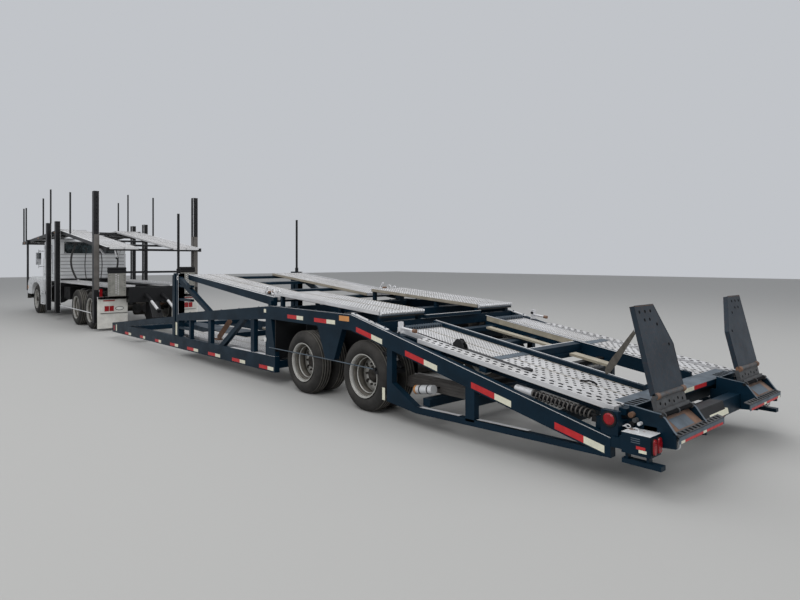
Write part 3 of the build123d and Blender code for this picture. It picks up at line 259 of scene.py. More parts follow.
class Piece:
    """Mesh made of plates, blocks, bars and turned forms, in its first material or in one they name."""

    def __init__(self, name, material):
        self.name, self.materials = name, [material]
        self.points, self.faces, self.slots, self.smooth = [], [], [], []

    def add(self, points, faces, material=None, smooth=False, shared=0):
        """Puts in faces over new points, and over the last points if they share some."""
        base = len(self.points) - shared
        if material and material not in self.materials:
            self.materials.append(material)
        slot = self.materials.index(material) if material else 0
        self.points += [tuple(point) for point in points]
        self.faces += [tuple(base + i for i in face) for face in faces]
        self.slots += [slot] * len(faces)
        self.smooth += [smooth] * len(faces)

    def prism(self, low, high, material=None, smooth=False):
        """Solid between two outlines with as many points each."""
        count, points = len(low), [*low, *high]
        walls = [(i, (i + 1) % count, count + (i + 1) % count, count + i) for i in range(count)]
        self.add(points, [tuple(reversed(range(count))), tuple(range(count, 2 * count))], material)
        self.add(points, walls, material, smooth)

    def block(self, x_low, x_high, y_low, y_high, z_low, z_high, material=None):
        """Box between low and high values."""
        self.prism(*[[(x_low, y_low, z), (x_high, y_low, z), (x_high, y_high, z), (x_low, y_high, z)]
                     for z in (z_low, z_high)], material)

    def slab(self, outline, y_low, y_high, material=None):
        """Plate with an outline in X and Z, between two widths."""
        self.prism(*[[(x, y, z) for x, z in outline] for y in (y_low, y_high)], material)

    def strip(self, along, x_front, x_rear, y_low, y_high, low, high, material=None):
        """Flat plate along a line, between two heights over it."""
        a, b = along(x_front), along(x_rear)
        self.slab([(x_front, a + low), (x_rear, b + low), (x_rear, b + high), (x_front, a + high)],
                  y_low, y_high, material)

    def strips(self, along, *rows):
        """Flat plates along one line."""
        for row in rows:
            self.strip(along, *row)

    def beam(self, start, end, width, height, material=None, up=(0, 0, 1)):
        """Straight bar between two points, by its width across and its height along up."""
        a, b = Vector(start), Vector(end)
        run = (b - a).normalized()
        across = run.cross(Vector(up)).normalized()
        rise = across.cross(run).normalized()
        ring = [across * (s * width / 2) + rise * (t * height / 2)
                for s, t in ((-1, -1), (1, -1), (1, 1), (-1, 1))]
        self.prism([a + corner for corner in ring], [b + corner for corner in ring], material)

    def rod(self, start, end, radius, sides=12, material=None, end_radius=None):
        """Round bar, or a cone, between two points."""
        a, b = Vector(start), Vector(end)
        run = (b - a).normalized()
        across = run.orthogonal().normalized()
        other = run.cross(across)
        turn = [across * c + other * s for c, s in circle(sides)]
        last = end_radius or radius
        self.prism([a + t * radius for t in turn], [b + t * last for t in turn], material, True)

    def pipe(self, points, radius, sides=10, material=None):
        """Round pipe through points, its corners mitred."""
        way = [Vector(p) for p in points]
        runs = [(b - a).normalized() for a, b in zip(way, way[1:])]
        across = runs[0].orthogonal().normalized()
        rings = []
        for i, point in enumerate(way):
            before, after = runs[max(i - 1, 0)], runs[min(i, len(runs) - 1)]
            middle = (before + after).normalized()
            across = (across - middle * across.dot(middle)).normalized()
            other = middle.cross(across)
            rings.append([point + (across * c + other * s) * radius for c, s in circle(sides)])
        walls = [(r * sides + j, r * sides + (j + 1) % sides, (r + 1) * sides + (j + 1) % sides,
                  (r + 1) * sides + j) for r in range(len(rings) - 1) for j in range(sides)]
        self.add([p for ring in rings for p in ring], walls, material, True)
        self.add(rings[0], [tuple(reversed(range(sides)))], material)
        self.add(rings[-1], [tuple(range(sides))], material)

    def turned(self, centre, profile, sides=48, material=None):
        """Form turned about a wheel's axis: profile is radius and Y from the centre, closed on itself."""
        x, y, z = centre
        count = len(profile)
        points = [(x + r * c, y + out, z + r * s) for c, s in circle(sides) for r, out in profile]
        walls = [(j * count + i, (j + 1) % sides * count + i, (j + 1) % sides * count + (i + 1) % count,
                  j * count + (i + 1) % count) for j in range(sides) for i in range(count)]
        self.add(points, walls, material, True)

    def done(self, body, *replaced, mirror=False, bevel=0.0):
        """Blender object of the piece, which rides on a body."""
        if mirror:
            count = len(self.points)
            self.points += [(x, -y, z) for x, y, z in self.points]
            self.faces += [tuple(count + i for i in reversed(face)) for face in self.faces]
            self.slots, self.smooth = self.slots * 2, self.smooth * 2
        mesh = bpy.data.meshes.new(self.name)
        mesh.from_pydata(self.points, [], self.faces)
        for material in self.materials:
            mesh.materials.append(material)
        mesh.polygons.foreach_set("material_index", self.slots)
        mesh.polygons.foreach_set("use_smooth", self.smooth)
        mesh.update()
        obj = bpy.data.objects.new(self.name, mesh)
        bpy.context.scene.collection.objects.link(obj)
        if bevel:
            rounding = obj.modifiers.new("edges", "BEVEL")
            rounding.width, rounding.segments, rounding.limit_method = bevel, 2, "ANGLE"
            rounding.angle_limit = math.radians(50)
        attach(obj, body)
        if replaced:
            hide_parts(*replaced)
        return obj


# Decks: lines of their tops, and perforated planks with folded sides

front_deck = line((-3.05, 1.461), (-6.0, 1.19))
mid_deck = line((-6.11, 1.262), (-8.3, 1.132))
belly_deck = line((-2.65, 0.375), (-6.15, 0.375))
rear_deck = line((-8.48, 0.962), (-11.02, 0.584))
outer_plank = line((-8.48, 0.962), (-11.14, 0.586))
tail_plate = line((-11.02, 0.584), (-11.2, 0.568))
upper_deck = line((6.25, 2.6), (1.75, 2.03))
head_deck = line((11.6, 2.37), (6.33, 2.63))
lower_deck = line((7.16, 1.105), (1.99, 1.105))

sheet = 0.004
plank_gap = 0.002
plank_depth = 0.045
plank_lip = 0.012
hole_rise = 0.003
hole_depth = 0.009
# Holes: pitch along and across, radius, how much longer than wide, and whether the rows are staggered
fine_holes = (0.04, 0.04, 0.0095, 1.0, False)
wide_holes = (0.06, 0.06, 0.013, 1.0, False)
long_holes = (0.05, 0.048, 0.0125, 1.3, False)
coarse_holes = (0.078, 0.055, 0.0145, 1.15, True)
outer_holes = (0.088, 0.055, 0.0195, 1.25, True)
# Eight points round a hole's cell, in shares of the cell
cell = [(-0.5, -0.5), (0, -0.5), (0.5, -0.5), (0.5, 0), (0.5, 0.5), (0, 0.5), (-0.5, 0.5), (-0.5, 0)]


def perforated(piece, deck, x_front, x_rear, y_low, y_high, holes):
    """Sheet with rows of raised holes along a deck."""
    pitch_x, pitch_y, radius, oval, stagger = holes
    columns = max(1, round((x_front - x_rear) / pitch_x))
    rows = max(1, round((y_high - y_low) / pitch_y))
    step_x, step_y = (x_front - x_rear) / columns, (y_high - y_low) / rows
    points, faces, walls = [], [], []
    for j in range(rows):
        shift = (0.25 if j % 2 else -0.25) * step_x if stagger else 0.0
        for i in range(columns):
            x, y = x_rear + (i + 0.5) * step_x, y_low + (j + 0.5) * step_y
            base = len(points)
            for a, b in cell:
                px = x + a * step_x
                points.append((px, y + b * step_y, deck(px) - hole_rise))
            for a, b in cell:
                length = math.hypot(a, b)
                px = x + shift + a / length * radius * oval
                points.append((px, y + b / length * radius, deck(px)))
            points += [(px, py, pz - hole_depth) for px, py, pz in points[-8:]]
            for k in range(8):
                after = (k + 1) % 8
                faces.append((base + k, base + after, base + 8 + after, base + 8 + k))
                walls.append((base + 8 + k, base + 8 + after, base + 16 + after, base + 16 + k))
    piece.add(points, faces)
    # Walls of the holes in the dark hole material: painted shade inside the holes
    piece.add([], walls, hole, shared=len(points))


def planks(piece, deck, y_low, y_high, *sections, count=2, inner=None):
    """Planks side by side, each in sections along the deck: front X, rear X and the holes. Their walls
    toward the middle may have a material of their own."""
    width = (y_high - y_low) / count
    for index in range(count):
        low, high = y_low + index * width + plank_gap, y_low + (index + 1) * width - plank_gap
        for x_front, x_rear, holes in sections:
            for thick, top in ((sheet, 0), (plank_lip, sheet - plank_depth)):
                for y, material in ((low, inner), (high - thick, None)):
                    piece.strip(deck, x_front, x_rear, y, y + thick, top, -plank_depth, material)
            for x, end in ((x_front, x_front - sheet), (x_rear, x_rear + sheet)):
                z = deck(x)
                piece.slab([(x, z), (end, z), (end, z - plank_depth), (x, z - plank_depth)], low, high)
            perforated(piece, deck, x_front, x_rear, low + sheet, high - sheet, holes)


# Rear deck: two planks, the wider-holed outer one, the cross members and the tail plate with its slots
treads = Piece("rear_deck_planks", steel)
planks(treads, rear_deck, 0.5, 1.05, (-8.48, -9.76, fine_holes), (-9.84, -11.02, coarse_holes), inner=cream)
planks(treads, outer_plank, 1.063, 1.212, (-8.95, -11.14, outer_holes), count=1)
# Thin bright strip on the outer plank's top edge: partly bare metal, partly painted highlight
treads.strip(outer_plank, -8.95, -11.14, 1.063, 1.069, 0, 0.002, bright)
treads.strips(
    rear_deck,
    (-8.95, -11.02, 1.05, 1.063, -0.05, -0.012, black),
    (-9.76, -9.84, 0.45, 1.05, -0.04, 0.006, worn),
    (-9.75, -9.85, 0, 0.45, -0.04, 0.03, navy),
    # Next two: bright top edges, partly bare metal and partly painted highlight
    (-9.752, -9.764, 0, 0.45, 0.03, 0.032, bright),
    (-8.48, -10.95, 0.448, 0.464, 0.042, 0.045, bright),
    (-8.48, -8.95, 1.052, 1.062, -0.045, 0.004, bright),
    (-8.56, -8.62, 0.5, 1.045, 0.002, 0.026, black),
)
for k in range(15):
    y = 0.505 + 0.037 * k
    treads.strip(rear_deck, -8.55, -8.63, y, y + 0.012, 0.004, 0.034, worn)
treads.strip(tail_plate, -11.024, -11.2, 0, 1.055, 0.0005, 0.004, worn)
# Slots of the tail plate: thin dark plates of painted shade
for k in range(5):
    ring = [(x, 0.745 + 0.061 * k + shift, tail_plate(x) + 0.0038)
            for x, shift in ((-11.112, 0), (-11.112, 0.04), (-11.188, 0.03), (-11.188, -0.01))]
    treads.prism(ring, [(x, y, z + 0.0008) for x, y, z in ring], hole)
treads.done("rear_deck", "rear_deck_treads", mirror=True)

# Fittings of the rear deck: webbing with its ratchet, hook, boards, cross bars and marking tape
extras = Piece("rear_deck_fittings", black)
extras.strips(rear_deck, (-9.4, -10.16, 0.99, 1.062, 0.002, 0.009), (-8.75, -9.3, 1.012, 1.03, 0.002, 0.005),
              (-10.16, -10.23, 0.985, 1.06, 0.002, 0.024))
ratchet = [(x, rear_deck(x) + rise) for x, rise in (
    (-9.25, 0.004), (-9.46, 0.004), (-9.45, 0.04), (-9.4, 0.092), (-9.36, 0.09), (-9.31, 0.035))]
for y in (0.992, 1.046):
    extras.slab(ratchet, y, y + 0.007)
for x, rise, radius, sides, material in ((-9.39, 0.05, 0.03, 12, black), (-9.3, 0.02, 0.01, 8, bright)):
    z = rear_deck(x) + rise
    extras.rod((x, 0.99, z), (x, 1.055, z), radius, sides, material)
extras.pipe([(-10.64, 0.8, 0.652), (-10.68, 0.8, 0.662), (-10.72, 0.795, 0.655), (-10.745, 0.785, 0.638),
             (-10.73, 0.77, 0.636)], 0.009, 8)
extras.block(-10.66, -10.6, 0.79, 0.81, 0.65, 0.66)
extras.strips(
    rear_deck,
    (-8.78, -9.7, -0.19, -0.1, -0.03, -0.008, tan),
    (-9.92, -10.38, -0.22, -0.1, -0.05, -0.025, tan),
    (-8.5, -9.745, -0.4495, -0.4465, -0.02, 0.04, tan),
    (-9.125, -9.175, -0.449, 0.449, -0.09, -0.052),
    (-10.075, -10.125, -0.449, 0.449, -0.09, -0.052),
)
each(extras.block, (-11.2015, -11.2, -0.1, 0.19, 0.535, 0.5705, tape_white),
     (-11.2015, -11.2, -0.38, -0.1, 0.535, 0.5705, tape_red),
     (-11.196, -11.17, 0.2, 0.29, 0.572, 0.6, tape_white))
extras.done("rear_deck", bevel=0.0015)

# Middle and lowest deck of the trailer
treads = Piece("mid_deck_planks", steel)
planks(treads, mid_deck, 0.5, 1.18, (-6.11, -8.3, long_holes), inner=cream)
planks(treads, belly_deck, 0.5, 1.1, (-2.65, -6.15, wide_holes), inner=cream)
treads.done("trailer", "trailer_treads", mirror=True)

# Front deck of the trailer
treads = Piece("front_deck_planks", steel)
planks(treads, front_deck, 0.5, 1.115, (-3.05, -6.0, long_holes), inner=cream)
# Bright strips along the rail's top edges: partly bare metal, partly painted highlight
treads.strip(front_deck, -3.05, -6.0, 1.15, 1.181, 0, 0.002, bright)
treads.strip(front_deck, -3.05, -6.0, 1.118, 1.122, 0, 0.003, bright)
treads.done("front_deck", "front_deck_treads", mirror=True)

# Upper and head deck of the tractor
treads = Piece("upper_deck_planks", steel)
planks(treads, upper_deck, 0.42, 1.1, (6.25, 1.75, wide_holes))
# Bright strip along the rail's top edge: partly bare metal, partly painted highlight
treads.strip(upper_deck, 6.25, 1.75, 1.1, 1.165, 0, 0.002, bright)
treads.done("upper_deck", "upper_deck_treads", mirror=True)

treads = Piece("head_deck_planks", steel)
planks(treads, head_deck, 0.42, 1.1, (11.6, 6.33, wide_holes))
treads.done("head_deck", "head_deck_treads", mirror=True)

# Lower deck of the tractor, with the ribbed skid plate and the rollers at its rear end
skids = Piece("lower_deck_planks", steel)
planks(skids, lower_deck, 0.42, 1.09, (7.16, 1.99, wide_holes))
for x in (2.05, 3.6, 5.2, 6.7):
    skids.block(x - 0.04, x + 0.04, 0, 1.09, 1.04, 1.06, black)
skids.block(1.975, 1.99, 0.7, 1.03, 1.06, 1.105)
skids.block(1.94, 1.975, 0.66, 1.07, 0.85, 1.4, skid_grey)
for z in (1.455, 1.515):
    skids.rod((1.965, 0.655, z), (1.965, 1.075, z), 0.033, 16, black)
    for k in range(14):
        y = 0.665 + 0.03 * k
        skids.block(1.9305, 1.94, y, y + 0.015, z - 0.024, z + 0.024, black)
skids.block(1.945, 1.975, 0.66, 1.07, 1.385, 1.43, black)
# Upright rows of bright studs and of dark holes, the holes drawn as discs of painted shade: Y, lowest Z,
# step, count, radius, material
studs = [(y, z, 0.056, 9, 0.0125, bright) for y, z in ((0.84, 0.9), (0.89, 0.928))]
dark_holes = [(y, 0.92, 0.062, 8, 0.009, hole) for y in (0.7, 1.03)]
for y, z_low, step, count, radius, material in studs + dark_holes:
    for k in range(count):
        z = z_low + step * k
        skids.rod((1.9385, y, z), (1.942, y, z), radius, 8, material)
for y in (0.662, 1.06):
    skids.block(1.932, 1.94, y, y + 0.008, 0.85, 1.385, skid_grey)
skids.block(1.935, 1.97, 0, 0.66, 1.4, 1.45, black)
skids.done("truck", "truck_lower_deck", mirror=True, bevel=0.004)


# Trailer's side frame

lower_bottom = line((0.85, 0.12), (-6.23, 0.175))
rear_bottom = line((-7.93, 0.9), (-11.15, 0.215))
rear_top = line((-7.93, 1.08), (-11.15, 0.364))

beams = Piece("side_beams", navy)
beams.slab([(-6.23, 0.175), (0.85, 0.12), (0.85, 0.32), (-6.23, 0.394)], beam_inner, face)
beams.slab([(0.85, 0.3203), (-0.2823, 0.3321), (-2.6197, 0.5834), (-2.6197, 0.6934)], beam_inner, face)
beams.slab([(-6.1097, 0.9), (-2.9003, 0.642), (-2.9003, 0.772), (-6.1097, 1.08)], beam_inner, face)
beams.block(-7.93, -6.11, beam_inner, face, 0.9, 1.08)
beams.slab([(-7.9303, 1.08), (-7.9303, 0.9), (-11.15, 0.215), (-11.15, 0.364)], beam_inner, face)
# Bright strips along the tops, partly worn paint and partly painted highlight: front and rear end, and widths
for start, end, y_low, y_high in (
    ((-11.15, 0.364), (-7.9303, 1.08), 1.284, 1.2942),
    ((-7.93, 1.08), (-6.11, 1.08), 1.284, 1.2942),
    ((-6.1097, 1.08), (-4.9, 0.9643), 1.285, 1.2945),
    ((-6.23, 0.394), (-4.9, 0.3801), 1.225, 1.2945),
):
    beams.strip(line(start, end), start[0], end[0], y_low, y_high, 0, 0.0012, bright)


def tape(height, *spans, tall=0.05):
    """Marking tape along a beam, red in front and white behind, with its middle at a height."""
    for x_front, x_rear in spans:
        middle = x_front + (x_rear - x_front) * 0.6
        for a, b, colour in ((x_front, middle, tape_red), (middle, x_rear, tape_white)):
            beams.strip(height, a, b, *on_face, -tall / 2, tall / 2, colour)


tape(lambda x: lower_bottom(x) + 0.044, (-0.012, -0.393), (-0.934, -1.22), (-1.763, -2.071),
     (-2.511, -2.881), (-3.276, -3.73), (-4.118, -4.555), (-4.963, -5.378), (-5.793, -6.19))
tape(lambda x: 0.968, (-6.55, -6.929), (-7.179, -7.623))
tape(lambda x: rear_bottom(x) + 0.042, (-8.03, -8.488), (-8.857, -9.322), (-9.762, -10.221),
     (-10.66, -11.1), tall=0.056)
each(beams.block, (-7.898, -7.704, face - 0.002, face + 0.001, 0.998, 1.058, amber),
     (0.535, 0.6, *on_face, 0.16, 0.3, tape_white), (0.7, 0.75, *on_face, 0.16, 0.27, tape_red),
     (-5.99, -5.93, *on_face, 0.98, 1.03, tape_white))
for x in (-6.3, -6.9, -7.5, -8.0):
    beams.rod((x, face - 0.004, 1.055), (x, face + 0.0008, 1.055), 0.009, 8)
beams.done("trailer", "trailer_side_beams", mirror=True, bevel=0.005)

# Double posts in front of the trailer's decks
post_inner = side - 0.11
posts = Piece("front_posts", navy)
posts.slab([(-2.9, 0.3592), (-2.79, 0.358), (-2.79, 1.47), (-2.9, 1.47)], post_inner, face)
posts.slab([(-2.73, 0.3575), (-2.62, 0.3563), (-2.62, 1.44), (-2.73, 1.47)], post_inner, face)
posts.block(-2.9, -2.62, post_inner, face - 0.02, 1.4, 1.48)
for z in (0.4, 0.62, 1.0):
    posts.block(-2.8, -2.72, side - 0.1, face - 0.02, z, z + 0.06)
for z_high, radius in ((2.55, 0.022), (1.56, 0.034)):
    posts.rod((-2.76, 1.24, 1.48), (-2.76, 1.24, z_high), radius, 12, black)
posts.block(-2.84, -2.77, face - 0.001, face + 0.0009, 0.38, 0.605, tape_white)
posts.block(-2.9, -2.89, post_inner, face + 0.0008, 0.75, 1.48, bright)
posts.rod((-2.86, face - 0.01, 1.4), (-2.86, face + 0.0008, 1.4), 0.04, 16, bright)
posts.rod((-2.86, face, 1.4), (-2.86, face + 0.0012, 1.4), 0.018, 12, black)
posts.done("trailer", "trailer_posts", mirror=True, bevel=0.006)

# Rails under the sloping beams, with their brackets
rails = Piece("rear_rails", navy)
rear_face = 1.2885
rail_line = line((-9.01, 0.216), (-11.15, 0.282))
for outline in (
    [(-8.56, rear_bottom(-8.56)), (-8.645, rear_bottom(-8.645)), (-8.645, 0.4), (-9.01, 0.216),
     (-9.01, 0.146), (-8.56, 0.195)],
    [(-9.01, 0.216), (-10.98, rear_bottom(-10.98)), (-11.15, rear_bottom(-11.15)), (-11.15, 0.212),
     (-9.01, 0.146)],
    [(-9.685, 0.205), (-9.795, 0.208), (-9.795, rear_bottom(-9.795)), (-9.685, rear_bottom(-9.685))],
):
    rails.slab(outline, beam_inner, rear_face)
rails.block(-8.53, -8.485, rear_face - 0.001, rear_face + 0.001, 0.197, 0.33, tape_white)
# Painted highlights along the tops of the rails
for x_front, x_rear in ((-9.067, -9.606), (-9.826, -10.397)):
    rails.strip(rail_line, x_front, x_rear, 1.24, rear_face, 0, 0.0015, bright)
rails.done("trailer", "trailer_rear_rails", mirror=True, bevel=0.004)


# Ramps: plates with holes in their heads and feet, rusty edges and a folding pipe

hinge, top = Vector((-11.462, 0, 0.56)), Vector((-11.262, 0, 1.361))
lean = (top - hinge).normalized()
front_way = Vector((lean.z, 0, -lean.x))
length = (top - hinge).length
ramp_inner, ramp_outer, fold = 0.602, 1.098, 0.138
for sign, word in ((1, "left"), (-1, "right")):
    ramp = Piece(f"ramp_plate_{word}", ramp_grey)

    def on_ramp(along, y, out):
        """Point by its distance up the ramp, its Y on the left and how far in front of the hinge it is."""
        return hinge + lean * along + front_way * out + Vector((0, sign * y, 0))

    def plate(outline, low, high, material=None):
        """Plate parallel to the ramp: outline in distance up and Y."""
        ring = outline if sign > 0 else list(reversed(outline))
        ramp.prism([on_ramp(a, y, high) for a, y in ring], [on_ramp(a, y, low) for a, y in ring], material)

    outline = [(0.145, ramp_inner), (0.145, ramp_outer), (length, ramp_outer), (length, 0.79),
               (length - 0.33, ramp_inner)]
    plate(outline, 0.024, 0.066)
    for a, b in zip(outline, outline[1:] + outline[:1]):
        ramp.beam(on_ramp(*a, 0.024), on_ramp(*b, 0.024), 0.007, 0.003, up=front_way)
    # Head's edge, foot with its two ribs, and hinge strap
    for a, b, y_low, y_high, low, high, material in (
        (length - 0.006, length, 0.79, ramp_outer, 0.0228, 0.067, rust),
        (-0.015, 0.13, 0.6, 1.1, 0.03, 0.0655, foot_grey),
        (-0.013, 0.006, 0.604, 1.096, 0.0225, 0.03, foot_grey),
        (0.112, 0.13, 0.604, 1.096, 0.0225, 0.03, foot_grey),
        (-0.006, 0.04, ramp_inner, ramp_outer, 0.006, 0.031, foot_grey),
    ):
        plate([(a, y_low), (a, y_high), (b, y_high), (b, y_low)], low, high, material)
    # Bars across: folding pipe and its collars, hinge lugs and pin; the thin pin is in the dark hole
    # material, a painted shadow line along the hinge
    for along, y_low, y_high, out, radius, sides, material in (
        (fold, ramp_inner, ramp_outer, 0.03, 0.022, 16, foot_grey),
        (fold, 0.601, 0.649, 0.03, 0.026, 16, rust), (fold, 1.046, 1.094, 0.03, 0.026, 16, rust),
        *[(0, y, y + 0.012, 0, 0.021, 12, foot_grey) for y in (0.604, 0.85, 1.084)],
        (0, ramp_inner, ramp_outer, 0, 0.015, 14, hole),
    ):
        ramp.rod(on_ramp(along, y_low, out), on_ramp(along, y_high, out), radius, sides, material)
    # Dark holes of the foot and, on both faces, of the head: discs of painted shade where the holes are
    for k in range(6):
        along, y = 0.066 + 0.014 * (k % 2), 0.66 + 0.076 * k
        ramp.rod(on_ramp(along, y, 0.0292), on_ramp(along, y, 0.031), 0.012, 10, hole)
    for down, y in ((0.05, 0.86), (0.05, 0.95), (0.05, 1.04), (0.115, 0.9), (0.115, 0.985), (0.16, 0.8),
                    (0.33, 0.68)):
        for out in (0.0232, 0.0655):
            ramp.rod(on_ramp(length - down, y, out), on_ramp(length - down, y, out + 0.0013), 0.013, 12, hole)
    ramp.done(f"ramp_{word}", f"ramp_{word}", bevel=0.0012)

# Strap from the rear deck to the left ramp. Its long part stays on the deck; its short top stays at
# the ramp's hook. They part where the raised deck passes.
strap = Piece("ramp_strap", webbing)
strap_top = Piece("ramp_strap_top", webbing)
strap_low, strap_high = Vector((-10.66, 0.484, 0.685)), Vector((-11.24, 1.075, 1.17))
strap_way = (strap_high - strap_low).normalized()
strap_side = strap_way.cross(Vector((0, 1, 0))).normalized()
half_thick = Vector((0, 0.0015, 0))
strap_part = 0.85
# Share of the way up, and half the width there
strap_marks = [(0.0, 0.012), (0.08, 0.03), (0.3, 0.034), (0.62, 0.024), (strap_part, 0.018), (1.0, 0.014)]
for pair in zip(strap_marks, strap_marks[1:]):
    rings = []
    for share, half in pair:
        p, out = strap_low + (strap_high - strap_low) * share, strap_side * half
        rings.append([p - out - half_thick, p + out - half_thick, p + out + half_thick,
                      p - out + half_thick])
    (strap_top if pair[0][0] >= strap_part else strap).prism(*rings)
strap_top.rod(strap_high - strap_way * 0.01, strap_high + Vector((-0.006, 0.012, 0)), 0.012, 10, bright)
strap_top.done("ramp_left", bevel=0.0008)
strap_object = strap.done("rear_deck", bevel=0.0008)
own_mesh(strap_object)


# Rear end: cheeks, rusty aprons, slotted plates, lamp boxes and the bar with its tape

rear = Piece("rear_end", navy)
cheek = [(-11.16, 0.3), (-11.16, 0.48), (-11.215, 0.48), (-11.215, 0.598), (-11.36, 0.582), (-11.45, 0.574),
         (-11.49, 0.545), (-11.55, 0.466), (-11.57, 0.445), (-11.57, 0.34)]
for y in (0.57, 1.108):
    rear.slab(cheek, y, y + 0.022)
    for a, b in zip(cheek[3:8], cheek[4:9]):
        rear.beam((a[0], y + 0.011, a[1]), (b[0], y + 0.011, b[1]), 0.0226, 0.003, worn)
rear.slab([(-11.433, 0.526), (-11.56, 0.434), (-11.548, 0.42), (-11.421, 0.512)], 0.592, 1.108, rust)
rear.slab([(-11.455, 0.5122), (-11.535, 0.4542), (-11.5338, 0.4524), (-11.4538, 0.5104)], 0.72, 1.0, worn)
rear.block(-11.5985, -11.592, 0.3, 1.13, 0.384, 0.44, worn)
rear.slab([(-11.5985, 0.44), (-11.5985, 0.434), (-11.545, 0.446), (-11.545, 0.452)], 0.3, 1.13, foot_grey)
# Slits of the rear step: thin dark plates of painted shade
slit = [(-11.59, 0.442), (-11.59, 0.4405), (-11.556, 0.4485), (-11.556, 0.4505)]
for k in range(12):
    y = 0.345 + 0.065 * k
    rear.slab(slit, y, y + 0.034, hole)
    colour = tape_white if k % 6 == 5 else tape_red
    rear.block(-11.5998, -11.594, y - 0.014, y + 0.051, 0.3845, 0.404, colour)
# Cross beams, ends of the side beams and the step under the lamp box
each(rear.block, (-11.43, -11.33, 0, 1.13, 0.33, 0.47), (-11.22, -11.15, 0, side - 0.004, 0.3, 0.38),
     (-11.237, -11.22, 1.13, 1.29, 0.3, 0.4), (-11.534, -11.237, 1.22, 1.29, 0.205, 0.24),
     (-11.439, -11.419, 1.22, 1.275, 0.24, 0.283), (-11.277, -11.257, 1.22, 1.275, 0.24, 0.283))
# Thin black rod along the ramps' hinge: the pin, darkened into a painted shadow line
rear.rod((-11.462, 0.56, 0.56), (-11.462, 1.136, 0.56), 0.013, 14, black)
# Lamp box
rear.slab([(-11.459, 0.282), (-11.237, 0.282), (-11.237, 0.434), (-11.459, 0.434)], 1.13, 1.2935)
each(rear.block, (-11.459, -11.237, 1.13, 1.2935, 0.434, 0.4365, white),
     (-11.461, -11.457, 1.13, 1.2935, 0.282, 0.436),
     (-11.42, -11.35, 1.2935, 1.2948, 0.33, 0.352, tape_red),
     (-11.43, -11.37, 1.2935, 1.2948, 0.306, 0.328, tape_white))
for z in (0.37, 0.385, 0.4):
    rear.block(-11.38, -11.31, 1.2932, 1.2945, z, z + 0.006, worn)
# Side marker's box and its surroundings
rear.slab([(-11.2, 0.36), (-11.06, 0.385), (-11.06, 0.566), (-11.2, 0.566)], 1.225, 1.275)
each(rear.block, (-11.2, -10.995, 1.105, 1.225, 0.4, 0.485), (-11.02, -10.98, 0, 1.212, 0.33, 0.482),
     (-11.2, -11.16, 1.13, 1.22, 0.38, 0.41, black))
for x, z, radius, material in ((-11.245, 0.535, 0.022, rust), (-11.275, 0.5, 0.018, foot_grey),
                               (-11.31, 0.48, 0.014, bright), (-11.25, 0.47, 0.02, black)):
    rear.rod((x, 1.12, z), (x, 1.17, z), radius, 10, material)
# Chain in the pocket behind the round lamp, its links in turn flat and upright, and a ring under the bar
for k in range(7):
    x, z, upright = -11.17 - 0.032 * k, 0.47 - 0.01 * (k % 2) - 0.008 * k, 1 - k % 2
    rear.pipe([(x + 0.022 * c, 1.19 + 0.013 * s * (1 - upright), z + 0.013 * s * upright)
               for c, s in circle(8, 9)], 0.005, 6, bright if k % 3 else rust)
rear.pipe([(-11.512 + 0.03 * c, 1.0, 0.335 + 0.03 * s) for c, s in circle(16, 15)], 0.007, 8, bright)
rear.block(-11.53, -11.49, 0.96, 1.04, 0.37, 0.384)
rear.done("trailer", "trailer_rear_frame", mirror=True, bevel=0.003)

# Panel in the middle of the rear end, with a piece of tape and two small lamps
centre = Piece("rear_centre_panel", black)
centre.slab([(-11.431, 0.47), (-11.431, 0.45), (-11.455, 0.385), (-11.46, 0.385), (-11.437, 0.472)],
            -0.12, 0.46)
centre.slab([(-11.33, 0.47), (-11.437, 0.472), (-11.437, 0.478), (-11.33, 0.476)], -0.12, 0.46)
centre.block(-11.46, -11.431, -0.12, 0.46, 0.345, 0.36)
centre.slab([(-11.466, 0.362), (-11.43, 0.362), (-11.43, 0.408), (-11.456, 0.408)], -0.175, 0.22, tape_white)
centre.block(-11.463, -11.458, -0.08, 0.1, 0.346, 0.358, lamp_red)
centre.block(-11.463, -11.458, 0.34, 0.42, 0.346, 0.358, lamp_red)
centre.done("trailer", bevel=0.002)


def lens_outline(x, y, half_y, half_z):
    """Outline of a lamp with rounded ends, in a plane across the trailer."""
    rounded = [[math.copysign(abs(value) ** 0.55, value) for value in pair] for pair in circle(24)]
    return [(x, y + half_y * a, 0.359 + half_z * b) for a, b in rounded]


# Tail lamps, two in each box, and the round side marker
tail = Piece("tail_lamps", lamp_red)
for y, half in ((1.178, 0.036), (1.255, 0.03)):
    tail.prism(lens_outline(-11.459, y, half, 0.064), lens_outline(-11.47, y, half, 0.064), black)
    tail.prism(lens_outline(-11.465, y, half - 0.004, 0.06), lens_outline(-11.4795, y, half - 0.009, 0.054))
    for k in range(4):
        z = 0.318 + 0.027 * k
        tail.block(-11.4805, -11.479, y - half + 0.011, y + half - 0.011, z - 0.0015, z + 0.0015)
tail.rod((-11.13, 1.274, 0.503), (-11.13, 1.2845, 0.503), 0.06, 24, black)
tail.rod((-11.13, 1.2835, 0.503), (-11.13, 1.293, 0.503), 0.047, 24, end_radius=0.036)
tail.done("trailer", "trailer_lamps", mirror=True)


